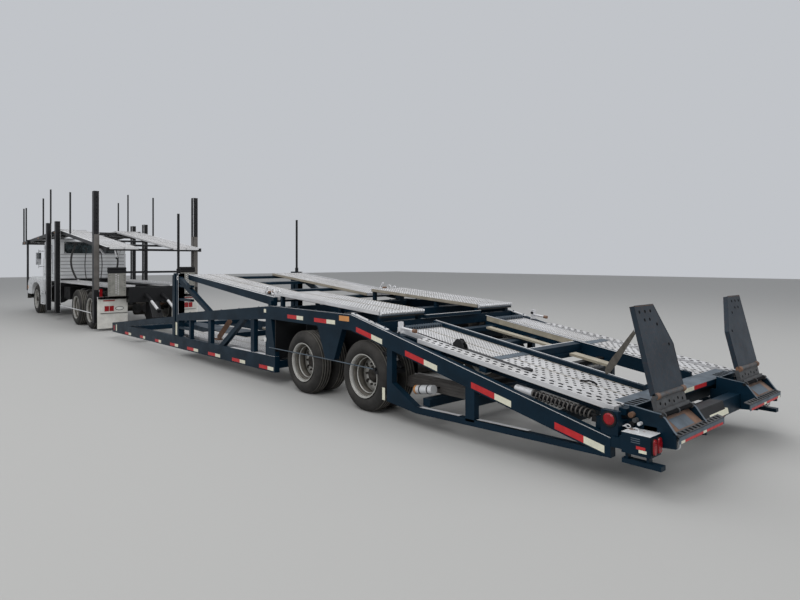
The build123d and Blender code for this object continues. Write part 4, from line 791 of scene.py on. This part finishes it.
# Junction of the middle and the rear deck, and hardware on the side beams
joint = Piece("junction_hardware", bright)
tooth = [(-8.303, 1.131), (-8.303, 1.092), (-8.328, 1.092), (-8.344, 1.11), (-8.338, 1.127)]
for k in range(17):
    y = 0.505 + 0.04 * k
    joint.slab(tooth, y, y + 0.027)
each(joint.block, (-8.33, -8.302, 0.5, 1.18, 1.082, 1.091, worn),
     (-8.325, -8.302, 0.5, 1.18, 1.06, 1.081, black), (-8.36, -8.3, 0, 0.5, 1.02, 1.058, navy),
     (-8.362, -8.35, 0, 0.5, 1.058, 1.062))
for a, b in ((-7.9, -8.26), (-8.275, -8.52)):
    joint.strip(rear_top, a, b, 1.222, 1.266, 0.001, 0.012)
    for share in (0.15, 0.85):
        x = a + (b - a) * share
        joint.rod((x, 1.245, rear_top(x) + 0.01), (x, 1.245, rear_top(x) + 0.022), 0.011, 6, worn)
joint.block(-8.7, -8.664, 1.17, 1.219, 0.93, 1.05)
joint.block(-8.72, -8.65, 1.165, 1.219, 0.93, 0.944)
joint.rod((-8.682, 1.19, 0.985), (-8.9, 1.18, 0.965), 0.013)
joint.rod((-8.86, 1.182, 0.968), (-8.905, 1.179, 0.964), 0.02, 12, rust)
joint.rod((-8.682, 1.15, 1.01), (-8.682, 1.2185, 1.01), 0.016, 10, black)
for x in (-6.35, -6.75, -7.15, -7.55, -7.85):
    joint.rod((x, 1.25, 1.08), (x, 1.25, 1.09), 0.012, 6, worn)
beam_top = line((-2.9, 0.772), (-6.11, 1.08))
for x in (-3.3, -3.9, -4.5, -5.1, -5.7):
    joint.rod((x, 1.25, beam_top(x)), (x, 1.25, beam_top(x) + 0.008), 0.012, 6, worn)
joint.done("trailer", mirror=True, bevel=0.0015)

# Hooks and lever on the trailer's front deck
hooks = Piece("front_deck_hooks", bright)
hooks.rod((-5.62, 1.085, 1.245), (-6.0, 1.085, 1.215), 0.012, 10)
hooks.beam((-5.62, 1.1, 1.235), (-5.69, 1.1, 1.33), 0.018, 0.03, up=(0, 1, 0))
hooks.pipe([(-5.85 + 0.045 * c, 1.1, 1.258 + 0.04 * s) for c, s in circle(12, 13)], 0.008, 8)
hooks.pipe([(-5.93, 1.09, 1.21), (-5.96, 1.09, 1.27), (-6.0, 1.09, 1.285), (-6.03, 1.09, 1.26)], 0.011, 8)
hooks.block(-5.8, -5.7, 1.06, 1.11, 1.222, 1.25, black)
hooks.rod((-5.75, 1.055, 1.25), (-5.75, 1.115, 1.25), 0.02, 12, rust)
hooks.done("front_deck", mirror=True, bevel=0.0015)

# Under the trailer's rear: two cylinders, the coiled hose round its pipe, the rod along the wheels, and
# the dark bulkhead and panels inboard of the wheels
under = Piece("underside_fittings", black)
each(under.rod, ((-8.457, 1.1, 0.66), (-8.52, 1.1, 0.59), 0.028, 14, bright),
     ((-8.52, 1.1, 0.59), (-8.585, 1.1, 0.52), 0.036, 14),
     ((-8.44, 1.1, 0.68), (-8.457, 1.1, 0.66), 0.018, 10))
each(under.block, (-8.49, -8.41, 1.06, 1.22, 0.67, 0.7), (-8.62, -8.56, 1.07, 1.22, 0.49, 0.53))
under.rod((-10.17, 1.15, 0.565), (-10.35, 1.15, 0.548), 0.038, 16, bright)
under.rod((-10.13, 1.15, 0.569), (-10.17, 1.15, 0.565), 0.022)
under.block(-10.15, -10.12, 1.12, 1.22, 0.53, 0.56)
turns, steps, coil_radius = 15, 12, 0.036
coil = []
for k, (c, s) in enumerate(circle(steps, turns * steps + 1)):
    share = k / (turns * steps)
    coil.append((-10.36 - 0.58 * share, 1.15 + coil_radius * c, 0.545 - 0.075 * share + coil_radius * s))
under.pipe(coil, 0.0065, 6, post_brown)
under.pipe([(-10.35, 1.15, 0.545), (-10.65, 1.15, 0.507), (-10.96, 1.15, 0.468)], 0.018)
under.block(-11.01, -10.95, 1.13, 1.22, 0.44, 0.48)
under.pipe([(-6.05, 1.25, 0.47), (-6.07, 1.2885, 0.505), (-7.49, 1.2885, 0.511), (-8.358, 1.2885, 0.508),
            (-8.38, 1.25, 0.47)], 0.0064, 8, worn)
under.rod((-8.35, 1.27, 0.505), (-8.35, 1.294, 0.505), 0.022)
each(under.block, (-6.215, -6.2, 0.78, 1.275, 0.36, 0.95), (-7.2, -6.2, 0.766, 0.772, 0.42, 0.9),
     (-7.62, -7.2, 0.766, 0.772, 0.47, 0.9), (-8.5, -7.62, 0.766, 0.772, 0.42, 0.9),
     (-8.4, -8.34, 1.225, 1.28, 0.455, 0.5))
under.done("trailer", mirror=True, bevel=0.001)

# On the left only: box with slats, banded tank and the rusty board
boxes = Piece("underside_boxes", post_brown)
boxes.block(-9.42, -8.52, 0.78, 0.95, 0.302, 0.42)
for k in range(4):
    z = 0.314 + 0.028 * k
    boxes.block(-9.42, -8.52, 0.948, 0.958, z, z + 0.018)
boxes.rod((-8.83, 1.1, 0.335), (-9.085, 1.1, 0.375), 0.047, 20, white)
boxes.rod((-8.825, 1.1, 0.334), (-8.85, 1.1, 0.338), 0.049, 20, amber)
for share in (0.3, 0.75):
    x, z = -8.83 - 0.255 * share, 0.335 + 0.04 * share
    boxes.rod((x + 0.008, 1.1, z - 0.001), (x - 0.008, 1.1, z + 0.001), 0.0485, 20, black)
    boxes.block(x - 0.012, x + 0.012, 0.95, 1.1, z - 0.01, z + 0.01, black)
boxes.beam((-3.86, 1.0, 0.39), (-4.33, 1.0, 0.745), 0.012, 0.11, rust)
boxes.block(-3.95, -3.8, 0.96, 1.04, 0.375, 0.4, rust)
boxes.done("trailer", bevel=0.003)

# Round lamp and dark holes on the side beams; the holes are black discs of painted shade
marks = Piece("side_marks", clear)
marks.rod((-5.95, 1.2845, 0.604), (-5.95, 1.289, 0.604), 0.036, 20, bright)
marks.rod((-5.95, 1.288, 0.604), (-5.95, 1.2925, 0.604), 0.029, 20, end_radius=0.024)
for x in (-0.1, -1.4, -2.2, -3.1, -4.35, -5.2):
    z = lower_bottom(x) + 0.12
    marks.rod((x, face - 0.001, z), (x, face + 0.001, z), 0.011, 10, black)
marks.done("trailer", mirror=True)


# Tractor's mudflaps with the rear lamps, and the beam over them
lamps = Piece("mudflap_lamps", flap)
each(lamps.block, (2.146, 2.159, 0.56, 1.18, 0.43, 0.775),
     (2.142, 2.15, 0.555, 1.185, 0.765, 0.782, black), (2.142, 2.15, 0.555, 1.185, 0.425, 0.436, black),
     (2.141, 2.147, 0.86, 1.12, 0.722, 0.748, lamp_red), (2.139, 2.147, 0.88, 0.98, 0.477, 0.605, lamp_red),
     (2.139, 2.147, 0.992, 1.092, 0.477, 0.605, lamp_red))
for half_y, half_z, x_pair, material in ((0.1, 0.048, (2.138, 2.147), black),
                                         (0.088, 0.036, (2.134, 2.14), clear)):
    ring = [(0.748 + half_y * c, 0.54 + half_z * s) for c, s in circle(20)]
    lamps.prism(*[[(x, y, z) for y, z in ring] for x in x_pair], material)
lamps.block(2.11, 2.171, 0.43, 1.252, 0.779, 0.831, bright)
for y in (0.62, 0.85, 1.1):
    lamps.rod((2.105, y, 0.805), (2.112, y, 0.805), 0.012, 6, black)
lamps.done("truck", mirror=True, bevel=0.002)

# Faces, bright edges and pin holes of the rack's posts, and the rod along the tractor's side; the bright
# edges are painted highlights and the pin holes painted shade
faces = Piece("rack_post_faces", post_brown)
each(faces.block, (2.2735, 2.4265, 1.1735, 1.2948, 1.0, 2.35),
     (2.418, 2.4265, 1.2935, 1.2949, 0.95, 3.39, bright), (2.2735, 2.28, 1.1735, 1.181, 0.95, 3.39, bright),
     (2.268, 2.275, 1.105, 1.172, 0.75, 1.02, lamp_red))
# Pin holes: discs of painted shade
for k in range(23):
    z = 1.05 + 0.1 * k
    faces.rod((2.2738, 1.235, z), (2.2755, 1.235, z), 0.013, 8, hole)
for x in (6.15, 7.25):
    faces.block(x + 0.074, x + 0.0855, 1.2935, 1.2949, 0.21, 2.84, bright)
    faces.block(x - 0.0855, x - 0.08, 1.1745, 1.182, 0.21, 2.84, bright)
    # Pin holes: discs of painted shade
    for k in range(16):
        z = 1.2 + 0.1 * k
        faces.rod((x - 0.0856, 1.235, z), (x - 0.0845, 1.235, z), 0.013, 8, hole)
faces.rod((5.65, 1.268, 0.441), (2.62, 1.268, 0.422), 0.012, 10, bright)
for x, z in ((5.65, 0.441), (4.1, 0.431), (2.62, 0.422)):
    faces.rod((x, 1.268, z), (x, 1.268, z + 0.05), 0.008, 8, black)
faces.done("truck", mirror=True, bevel=0.001)

# Bowed pipes behind the cab, and the cylinders beside the stinger
pipes = Piece("pipes_behind_cab", hose)
shares = [k / 14 for k in range(15)]
arc = [(7.0, 0.53 - 0.04 * t + 0.17 * math.sin(math.pi * t), 2.25 - 1.17 * t) for t in shares]
pipes.pipe(arc, 0.028)
pipes.rod(arc[0], (7.4, 0.53, 2.25), 0.022, 10)
pipes.rod(arc[-1], (7.0, arc[-1][1], 1.13), 0.036, 10, bright)
shares = [k / 10 for k in range(11)]
pipes.pipe([(7.15, 0.2 + 0.05 * math.sin(math.pi * t), 2.1 - 1.03 * t) for t in shares], 0.014, 8)
each(pipes.rod, ((7.15, 0.2, 2.1), (7.4, 0.2, 2.1), 0.014, 8),
     ((2.05, 0.2, 0.9), (1.5, 0.2, 0.717), 0.048, 16, black),
     ((1.52, 0.2, 0.722), (1.02, 0.2, 0.51), 0.034, 14, bright),
     ((1.07, 0.2, 0.53), (1.0, 0.2, 0.5), 0.045, 14, black))
pipes.block(2.0, 2.09, 0.14, 0.26, 0.82, 0.94, black)
pipes.done("truck", mirror=True, bevel=0.001)

# Tractor's chassis: ribbed box, air tank with its straps, drive shaft, leaf springs and brake chambers
chassis = Piece("chassis_fittings", black)
chassis.block(6.32, 7.05, 0.5, 0.86, 0.56, 0.92)
for k in range(5):
    x = 6.36 + 0.13 * k
    chassis.block(x, x + 0.08, 0.86, 0.868, 0.6, 0.88, engine_iron)
chassis.rod((5.0, 0.62, 0.78), (5.85, 0.62, 0.78), 0.125, 20)
for x in (5.12, 5.72):
    chassis.rod((x - 0.02, 0.62, 0.78), (x + 0.02, 0.62, 0.78), 0.1285, 20, bright)
    chassis.block(x - 0.02, x + 0.02, 0.432, 0.62, 0.88, 0.91)
chassis.rod((4.43, 0, 0.5), (7.9, 0, 0.74), 0.05, 16, engine_iron)
chassis.block(6.36, 6.5, 0.43, 0.5, 0.82, 0.9)
for x in (4.25, 2.95):
    for k in range(5):
        half, z = 0.46 - 0.07 * k, 0.58 - 0.016 * k
        chassis.block(x - half, x + half, 0.445, 0.515, z, z + 0.014, rust)
    chassis.rod((x - 0.19, 0.12, 0.465), (x - 0.15, 0.12, 0.465), 0.12, 20, engine_iron)
chassis.rod((3.6, 0.1, 0.86), (3.6, 0.34, 0.86), 0.06, 14)
chassis.done("truck", mirror=True, bevel=0.003)

# Cab: ribs and window frame of the rear wall, windscreen seal, wipers, lamps, mirrors, rail and steps
cab = Piece("cab_fittings", black)
for k in range(8):
    z = 1.16 + 0.108 * k
    cab.block(7.4115, 7.421, 0, 1.0, z, z + 0.02, white)
    cab.block(7.415, 7.421, 0, 1.0, z - 0.012, z, trim)
each(cab.block, (7.409, 7.421, 0, 1.02, 1.0, 1.14), (7.4125, 7.422, 0, 0.77, 1.93, 1.95),
     (7.4125, 7.422, 0, 0.77, 2.28, 2.3), (7.4125, 7.422, 0.74, 0.77, 1.93, 2.3))
for corner in (((0.77, 2.3), (0.69, 2.3), (0.77, 2.22)), ((0.77, 1.93), (0.77, 2.01), (0.69, 1.93))):
    cab.prism(*[[(x, y, z) for y, z in corner] for x in (7.4125, 7.445)], white)
sill, head = (8.853, 1.832), (8.7, 2.266)
for (x_a, z_a), y_a, (x_b, z_b), y_b in ((sill, 0.03, sill, 0.96), (head, 0.03, head, 0.96),
                                         (sill, 0.955, head, 0.955), (sill, 0.012, head, 0.012)):
    cab.beam((x_a, y_a, z_a), (x_b, y_b, z_b), 0.03, 0.03)
each(cab.rod, ((8.876, 0.1, 1.822), (8.82, 0.7, 1.96), 0.008, 8),
     ((8.879, 0.1, 1.818), (8.883, 0.1, 1.79), 0.014, 8),
     *[((8.625, y, 2.318), (8.662, y, 2.343), 0.035, 16, amber, 0.022) for y in (0.0, 0.2, 0.62)],
     ((8.79, 1.035, 2.02), (8.8, 1.2, 2.02), 0.013, 10, chrome),
     ((8.79, 1.035, 1.52), (8.8, 1.2, 1.52), 0.013, 10, chrome),
     ((8.8, 1.2, 1.47), (8.8, 1.2, 2.07), 0.013, 10, chrome))
cab.block(8.775, 8.835, 1.13, 1.28, 1.58, 1.97, chrome)
cab.block(8.771, 8.776, 1.142, 1.268, 1.6, 1.95, chrome)
cab.pipe([(7.53, 1.04, 1.3), (7.53, 1.075, 1.32), (7.53, 1.075, 1.93), (7.53, 1.04, 1.95)], 0.012, 10, chrome)
for z in (0.735, 0.375):
    for k in range(4):
        y = 1.025 + 0.045 * k
        cab.block(8.0, 8.414, y, y + 0.02, z, z + 0.006, trim)
cab.done("truck", mirror=True, bevel=0.003)

# Doors: window seal, handle, two creases and the glass; Y is given for the left door
for sign, word in ((1, "left"), (-1, "right")):
    door = Piece(f"door_fittings_{word}", black)
    pane = Piece(f"door_glass_{word}", glass)
    for piece, x_low, x_high, inner, outer, z_low, z_high, material in (
        (door, 7.7, 8.62, 1.0395, 1.0425, 1.765, 1.782, black),
        (door, 7.7, 8.62, 1.0395, 1.0425, 2.188, 2.205, black),
        (door, 7.7, 7.716, 1.0395, 1.0425, 1.765, 2.205, black),
        (door, 8.604, 8.62, 1.0395, 1.0425, 1.765, 2.205, black),
        (door, 7.68, 7.82, 1.0395, 1.05, 1.62, 1.66, black),
        (door, 7.69, 7.81, 1.045, 1.062, 1.632, 1.648, chrome),
        (door, 7.66, 8.66, 1.0395, 1.0415, 1.5, 1.512, white),
        (door, 7.66, 8.66, 1.0395, 1.0415, 1.3, 1.312, white),
        (pane, 7.7, 8.62, 1.024, 1.03, 1.77, 2.2, glass),
    ):
        y_pair = sorted((sign * inner, sign * outer))
        piece.block(x_low, x_high, *y_pair, z_low, z_high, material)
    door.done(f"door_{word}", bevel=0.002)
    pane.done(f"door_{word}")

# Hood and fenders, rounded
hood = Piece("hood_panels", white)
hood.slab([(9.0003, 1.06), (9.0003, 1.7), (9.35, 1.672), (9.7, 1.62), (10.05, 1.54), (10.3, 1.45),
           (10.38, 1.3), (10.38, 0.74), (10.2, 0.74), (10.2, 1.06)], -0.64, 0.64)
arch = [(9.1 + 0.63 * c, 0.62 + 0.395 * s ** 0.7) for c, s in circle(32, 17)]
fender = [(8.43, 0.65), (8.43, 1.0), (8.5, 1.072), (9.0003, 1.076), (9.03, 1.19), (9.56, 1.188),
          (9.95, 1.14), (10.25, 1.06), (10.37, 0.93), (10.38, 0.6), (9.76, 0.6), *arch, (8.455, 0.62)]
hood.slab(fender, 0.6, 1.215)
hood.slab(fender, -1.215, -0.6)
hood.done("truck", "hood", bevel=0.022)

# Grille, headlights, indicators, vents, the hood's seam and what is on the bumper
front = Piece("hood_fittings", chrome)
front.block(10.376, 10.383, 0, 0.45, 0.775, 1.3, black)
for k in range(10):
    y = 0.02 + 0.046 * k
    front.block(10.383, 10.392, y, y + 0.014, 0.78, 1.295)
each(front.block, (10.376, 10.3945, 0.45, 0.468, 0.76, 1.318), (10.376, 10.3945, 0, 0.468, 0.76, 0.778),
     (10.376, 10.3995, 0, 0.462, 1.3, 1.318), (10.372, 10.3955, 0.7, 1.06, 0.73, 0.9),
     (10.39, 10.3985, 0.715, 0.88, 0.745, 0.885, clear), (10.39, 10.3985, 0.89, 1.045, 0.745, 0.885, clear),
     (10.3, 10.372, 1.2, 1.2195, 0.75, 0.87, amber))
for k in range(6):
    x = 9.2 + 0.06 * k
    front.block(x, x + 0.035, 0.639, 0.6425, 1.28, 1.45, black)
front.block(9.15, 10.2, -0.006, 0.006, 1.5, 1.52, trim)
front.rod((10.555, 0.8, 0.56), (10.562, 0.8, 0.56), 0.06, 20)
front.rod((10.556, 0.8, 0.56), (10.563, 0.8, 0.56), 0.05, 20, clear)
front.block(10.558, 10.5605, 0.1, 0.42, 0.52, 0.6, black)
front.done("truck", mirror=True, bevel=0.003)


def rail_bolts(piece, deck, x_first, step, count):
    """Row of bolt heads along a deck's rail."""
    for k in range(count):
        x = x_first + step * k
        piece.rod((x, 1.133, deck(x)), (x, 1.133, deck(x) + 0.008), 0.014, 6, bright)


# Upper deck: rear end plates, bolts on the rails, and struts that hang from the planks
ends = Piece("upper_deck_ends", post_brown)
ends.block(1.7502, 1.762, 0.42, 1.1, 1.985, 2.026)
ends.block(1.752, 1.79, 0, 0.42, 1.96, 2.0, black)
rail_bolts(ends, upper_deck, 2.0, 0.5, 9)
ends.done("upper_deck", mirror=True, bevel=0.002)
struts = Piece("upper_deck_struts", bright)
each(struts.rod, ((3.775, 0.45, 2.24), (3.33, 0.45, 1.78), 0.018, 10),
     ((3.33, 0.45, 1.78), (2.82, 0.45, 2.13), 0.018, 10),
     ((3.33, 0.42, 1.775), (3.33, 0.48, 1.775), 0.028, 12, black),
     ((3.83, 0.9, 2.258), (2.87, 0.9, 1.87), 0.024, 10))
struts.done("upper_deck", bevel=0.0015)

# Head deck: bolts on the rails, and side markers
ends = Piece("head_deck_ends", black)
rail_bolts(ends, head_deck, 6.6, 0.52, 10)
for x in (6.8, 9.0, 11.2):
    ends.block(x, x + 0.08, 1.1645, 1.169, head_deck(x) - 0.07, head_deck(x) - 0.035, amber)
ends.done("head_deck", mirror=True, bevel=0.002)


# Wheels: grooved tyres with dusty treads, rims, hubs, drums and bolts

def tyre_profile(radius, bead, y_outer, width):
    """Closed section of a tyre, from the outer bead over the tread to the inner bead: radius and Y."""
    wall = radius - bead
    half = [(bead, 0.06), (bead + 0.006, 0.035), (bead + 0.22 * wall, 0.012), (bead + 0.45 * wall, 0.004),
            (bead + 0.66 * wall, 0.009), (bead + 0.84 * wall, 0.022), (radius - 0.012, 0.034),
            (radius - 0.003, 0.05)]
    grooves = [(radius - depth, y_outer - share * width - way) for share in groove_shares
               for depth, way in ((0.002, -0.009), (0.013, -0.006), (0.013, 0.006), (0.002, 0.009))]
    return [*[(r, y_outer - y) for r, y in half], *grooves,
            *[(r, y_outer - width + y) for r, y in reversed(half)],
            (bead + 0.02, y_outer - width + 0.075), (bead + 0.02, y_outer - 0.075)]


def band(start, end, thick):
    """Closed section of a thin ring, from its outboard edge to its inboard edge: radius and Y."""
    return [end, start, (start[0] - thick, start[1]), (end[0] - thick, end[1])]


groove_shares = (0.33, 0.5, 0.67)
bolts, bolt_ring = 10, 0.122
# Body, X of the axle, radius, width of a tyre, radius of the bead, Y of the outer face, tyres, gap between
# them, how far in the disc is, and the bolts' material
for name, x, radius, width, bead, outer, tyres, gap, inset, bolt_metal in (
    ("steer", 9.1, 0.465, 0.29, 0.29, 1.205, 1, 0.0, 0.07, chrome),
    ("drive1", 4.25, 0.465, 0.265, 0.29, 1.22, 2, 0.045, 0.225, chrome),
    ("drive2", 2.95, 0.465, 0.265, 0.29, 1.22, 2, 0.045, 0.225, chrome),
    ("trailer1", -6.885, 0.4, 0.225, 0.236, 1.285, 2, 0.035, 0.19, iron),
    ("trailer2", -8.13, 0.4, 0.225, 0.236, 1.285, 2, 0.035, 0.19, iron),
):
    disc = outer - inset
    inner = outer - tyres * width - (tyres - 1) * gap
    groove_edges = [share * width + way for share in groove_shares for way in (-0.01, 0.01)]
    treads_at = [0.05, *groove_edges, width - 0.05]
    deep = inset > 0.1
    barrel = [
        (bead + 0.01, outer - 0.022), (bead + 0.012, outer - 0.012), (bead + 0.002, outer - 0.014),
        (bead - 0.006, outer - 0.03), (bead - 0.012, outer - 0.06), (bead - 0.034, outer - 0.085),
        (bead - 0.036, outer - 0.15 if deep else disc + 0.012), (bead - 0.03, inner + 0.06),
        (bead - 0.012, inner + 0.03), (bead + 0.01, inner + 0.012), (bead + 0.012, inner + 0.022),
        (bead - 0.002, inner + 0.04), (bead - 0.022, inner + 0.07), (bead - 0.028, outer - 0.15),
        (bead - 0.026, outer - 0.085), (bead - 0.004, outer - 0.055),
    ]
    # Bright edge, and in a deep rim the dusty well with its step
    rings = [((bead + 0.013, outer - 0.0105), (bead - 0.0095, outer - 0.045), 0.003, rim_light)]
    if deep:
        rings += [((bead - 0.011, outer - 0.05), (bead - 0.034, outer - 0.0835), 0.0025, rim_dust),
                  ((bead - 0.033, outer - 0.085), (bead - 0.034, outer - 0.102), 0.006, rim_light),
                  ((bead - 0.0345, outer - 0.104), (bead - 0.0345, disc + 0.008), 0.003, rim_dust)]
    dish = [(bead - 0.03, disc - 0.03), (bead - 0.036, disc - 0.012), (bead - 0.05, disc + 0.002),
            (0.15, disc + 0.012), (0.095, disc + 0.012), (0.095, disc - 0.004), (0.145, disc - 0.006),
            (bead - 0.052, disc - 0.016)]
    hub = [(0.001, disc + 0.052), (0.06, disc + 0.05), (0.078, disc + 0.04), (0.086, disc + 0.012),
           (0.1, disc + 0.01), (0.1, disc - 0.1), (0.001, disc - 0.1)]
    drum = [(0.1, disc - 0.012), (bead - 0.075, disc - 0.02), (bead - 0.07, disc - 0.13), (0.1, disc - 0.14)]
    for sign, word in ((1, "left"), (-1, "right")):
        def turn(piece, profile, sides, material=None):
            """Form about this wheel's axis, its profile turned over for the right side."""
            mirrored = profile if sign > 0 else [(r, -y) for r, y in reversed(profile)]
            piece.turned((x, 0, radius), mirrored, sides, material)

        body = f"{name}_wheel_{word}"
        tyre = Piece(f"{name}_rubber_{word}", rubber)
        for index in range(tyres):
            y = outer - index * (width + gap)
            turn(tyre, tyre_profile(radius, bead, y, width), 72)
            for start, end in zip(treads_at[::2], treads_at[1::2]):
                turn(tyre, band((radius, y - start), (radius, y - end), 0.004), 72, tread_dust)
        tyre.done(body, f"{name}_tyre_{word}")

        rim = Piece(f"{name}_steel_rim_{word}", rim_paint)
        turn(rim, barrel, 48)
        for start, end, thick, material in rings:
            turn(rim, band(start, end, thick), 48, material)
        turn(rim, dish, 48)
        turn(rim, hub, 24, iron)
        turn(rim, drum, 32, iron)
        y = sign * (disc + 0.012)
        for k, (c, s) in enumerate(circle(bolts)):
            a, b = x + bolt_ring * c, radius + bolt_ring * s
            rim.rod((a, y - sign * 0.002, b), (a, y + sign * 0.022, b), 0.014, 6, bolt_metal)
            if k % 2:
                a, b = x + (bead - 0.075) * c, radius + (bead - 0.075) * s
                rim.rod((a, y - sign * 0.008, b), (a, y + sign * 0.0015, b), 0.021, 10, iron)
        rim.done(body, f"{name}_rim_{word}")


# Camera, floor and lights

camera_data = bpy.data.cameras.new("camera")
camera_data.lens, camera_data.sensor_width = 27.0, 36.0
camera_data.shift_y = -39 / 800
camera_data.clip_end = 200
camera = bpy.data.objects.new("camera", camera_data)
camera.location = (-13.45, 5.5, 1.70)
camera.rotation_euler = Vector((0.7431, -0.6691, 0)).to_track_quat("-Z", "Y").to_euler()
bpy.context.scene.collection.objects.link(camera)
bpy.context.scene.camera = camera

ground, _, ground_shader = node_tree("floor")
ground_shader.inputs["Base Color"].default_value = (0.42, 0.415, 0.4, 1)
ground_shader.inputs["Roughness"].default_value = 0.9
floor_mesh = bpy.data.meshes.new("floor")
reach = 60.0
corners = [(-reach, -reach, 0), (reach, -reach, 0), (reach, reach, 0), (-reach, reach, 0)]
floor_mesh.from_pydata(corners, [], [(0, 1, 2, 3)])
floor_mesh.materials.append(ground)
floor = bpy.data.objects.new("floor", floor_mesh)
bpy.context.scene.collection.objects.link(floor)

world = bpy.data.worlds.new("studio")
world.use_nodes = True
world.node_tree.nodes["Background"].inputs["Color"].default_value = (0.86, 0.89, 0.94, 1)
world.node_tree.nodes["Background"].inputs["Strength"].default_value = 0.62
bpy.context.scene.world = world
bpy.context.scene.view_settings.view_transform = "Standard"
for name, place, aim, size, power in (
    ("key", (-14, 14, 14), (-4, 0, 0), 12, 1300),
    ("fill", (-20, -8, 9), (-6, 0, 0), 10, 450),
    ("top", (0, 0, 16), (0, 0, 0), 20, 1400),
):
    light_data = bpy.data.lights.new(name, "AREA")
    light_data.shape, light_data.size, light_data.energy = "DISK", size, power
    light = bpy.data.objects.new(name, light_data)
    light.location = place
    light.rotation_euler = (Vector(aim) - Vector(place)).to_track_quat("-Z", "Y").to_euler()
    bpy.context.scene.collection.objects.link(light)
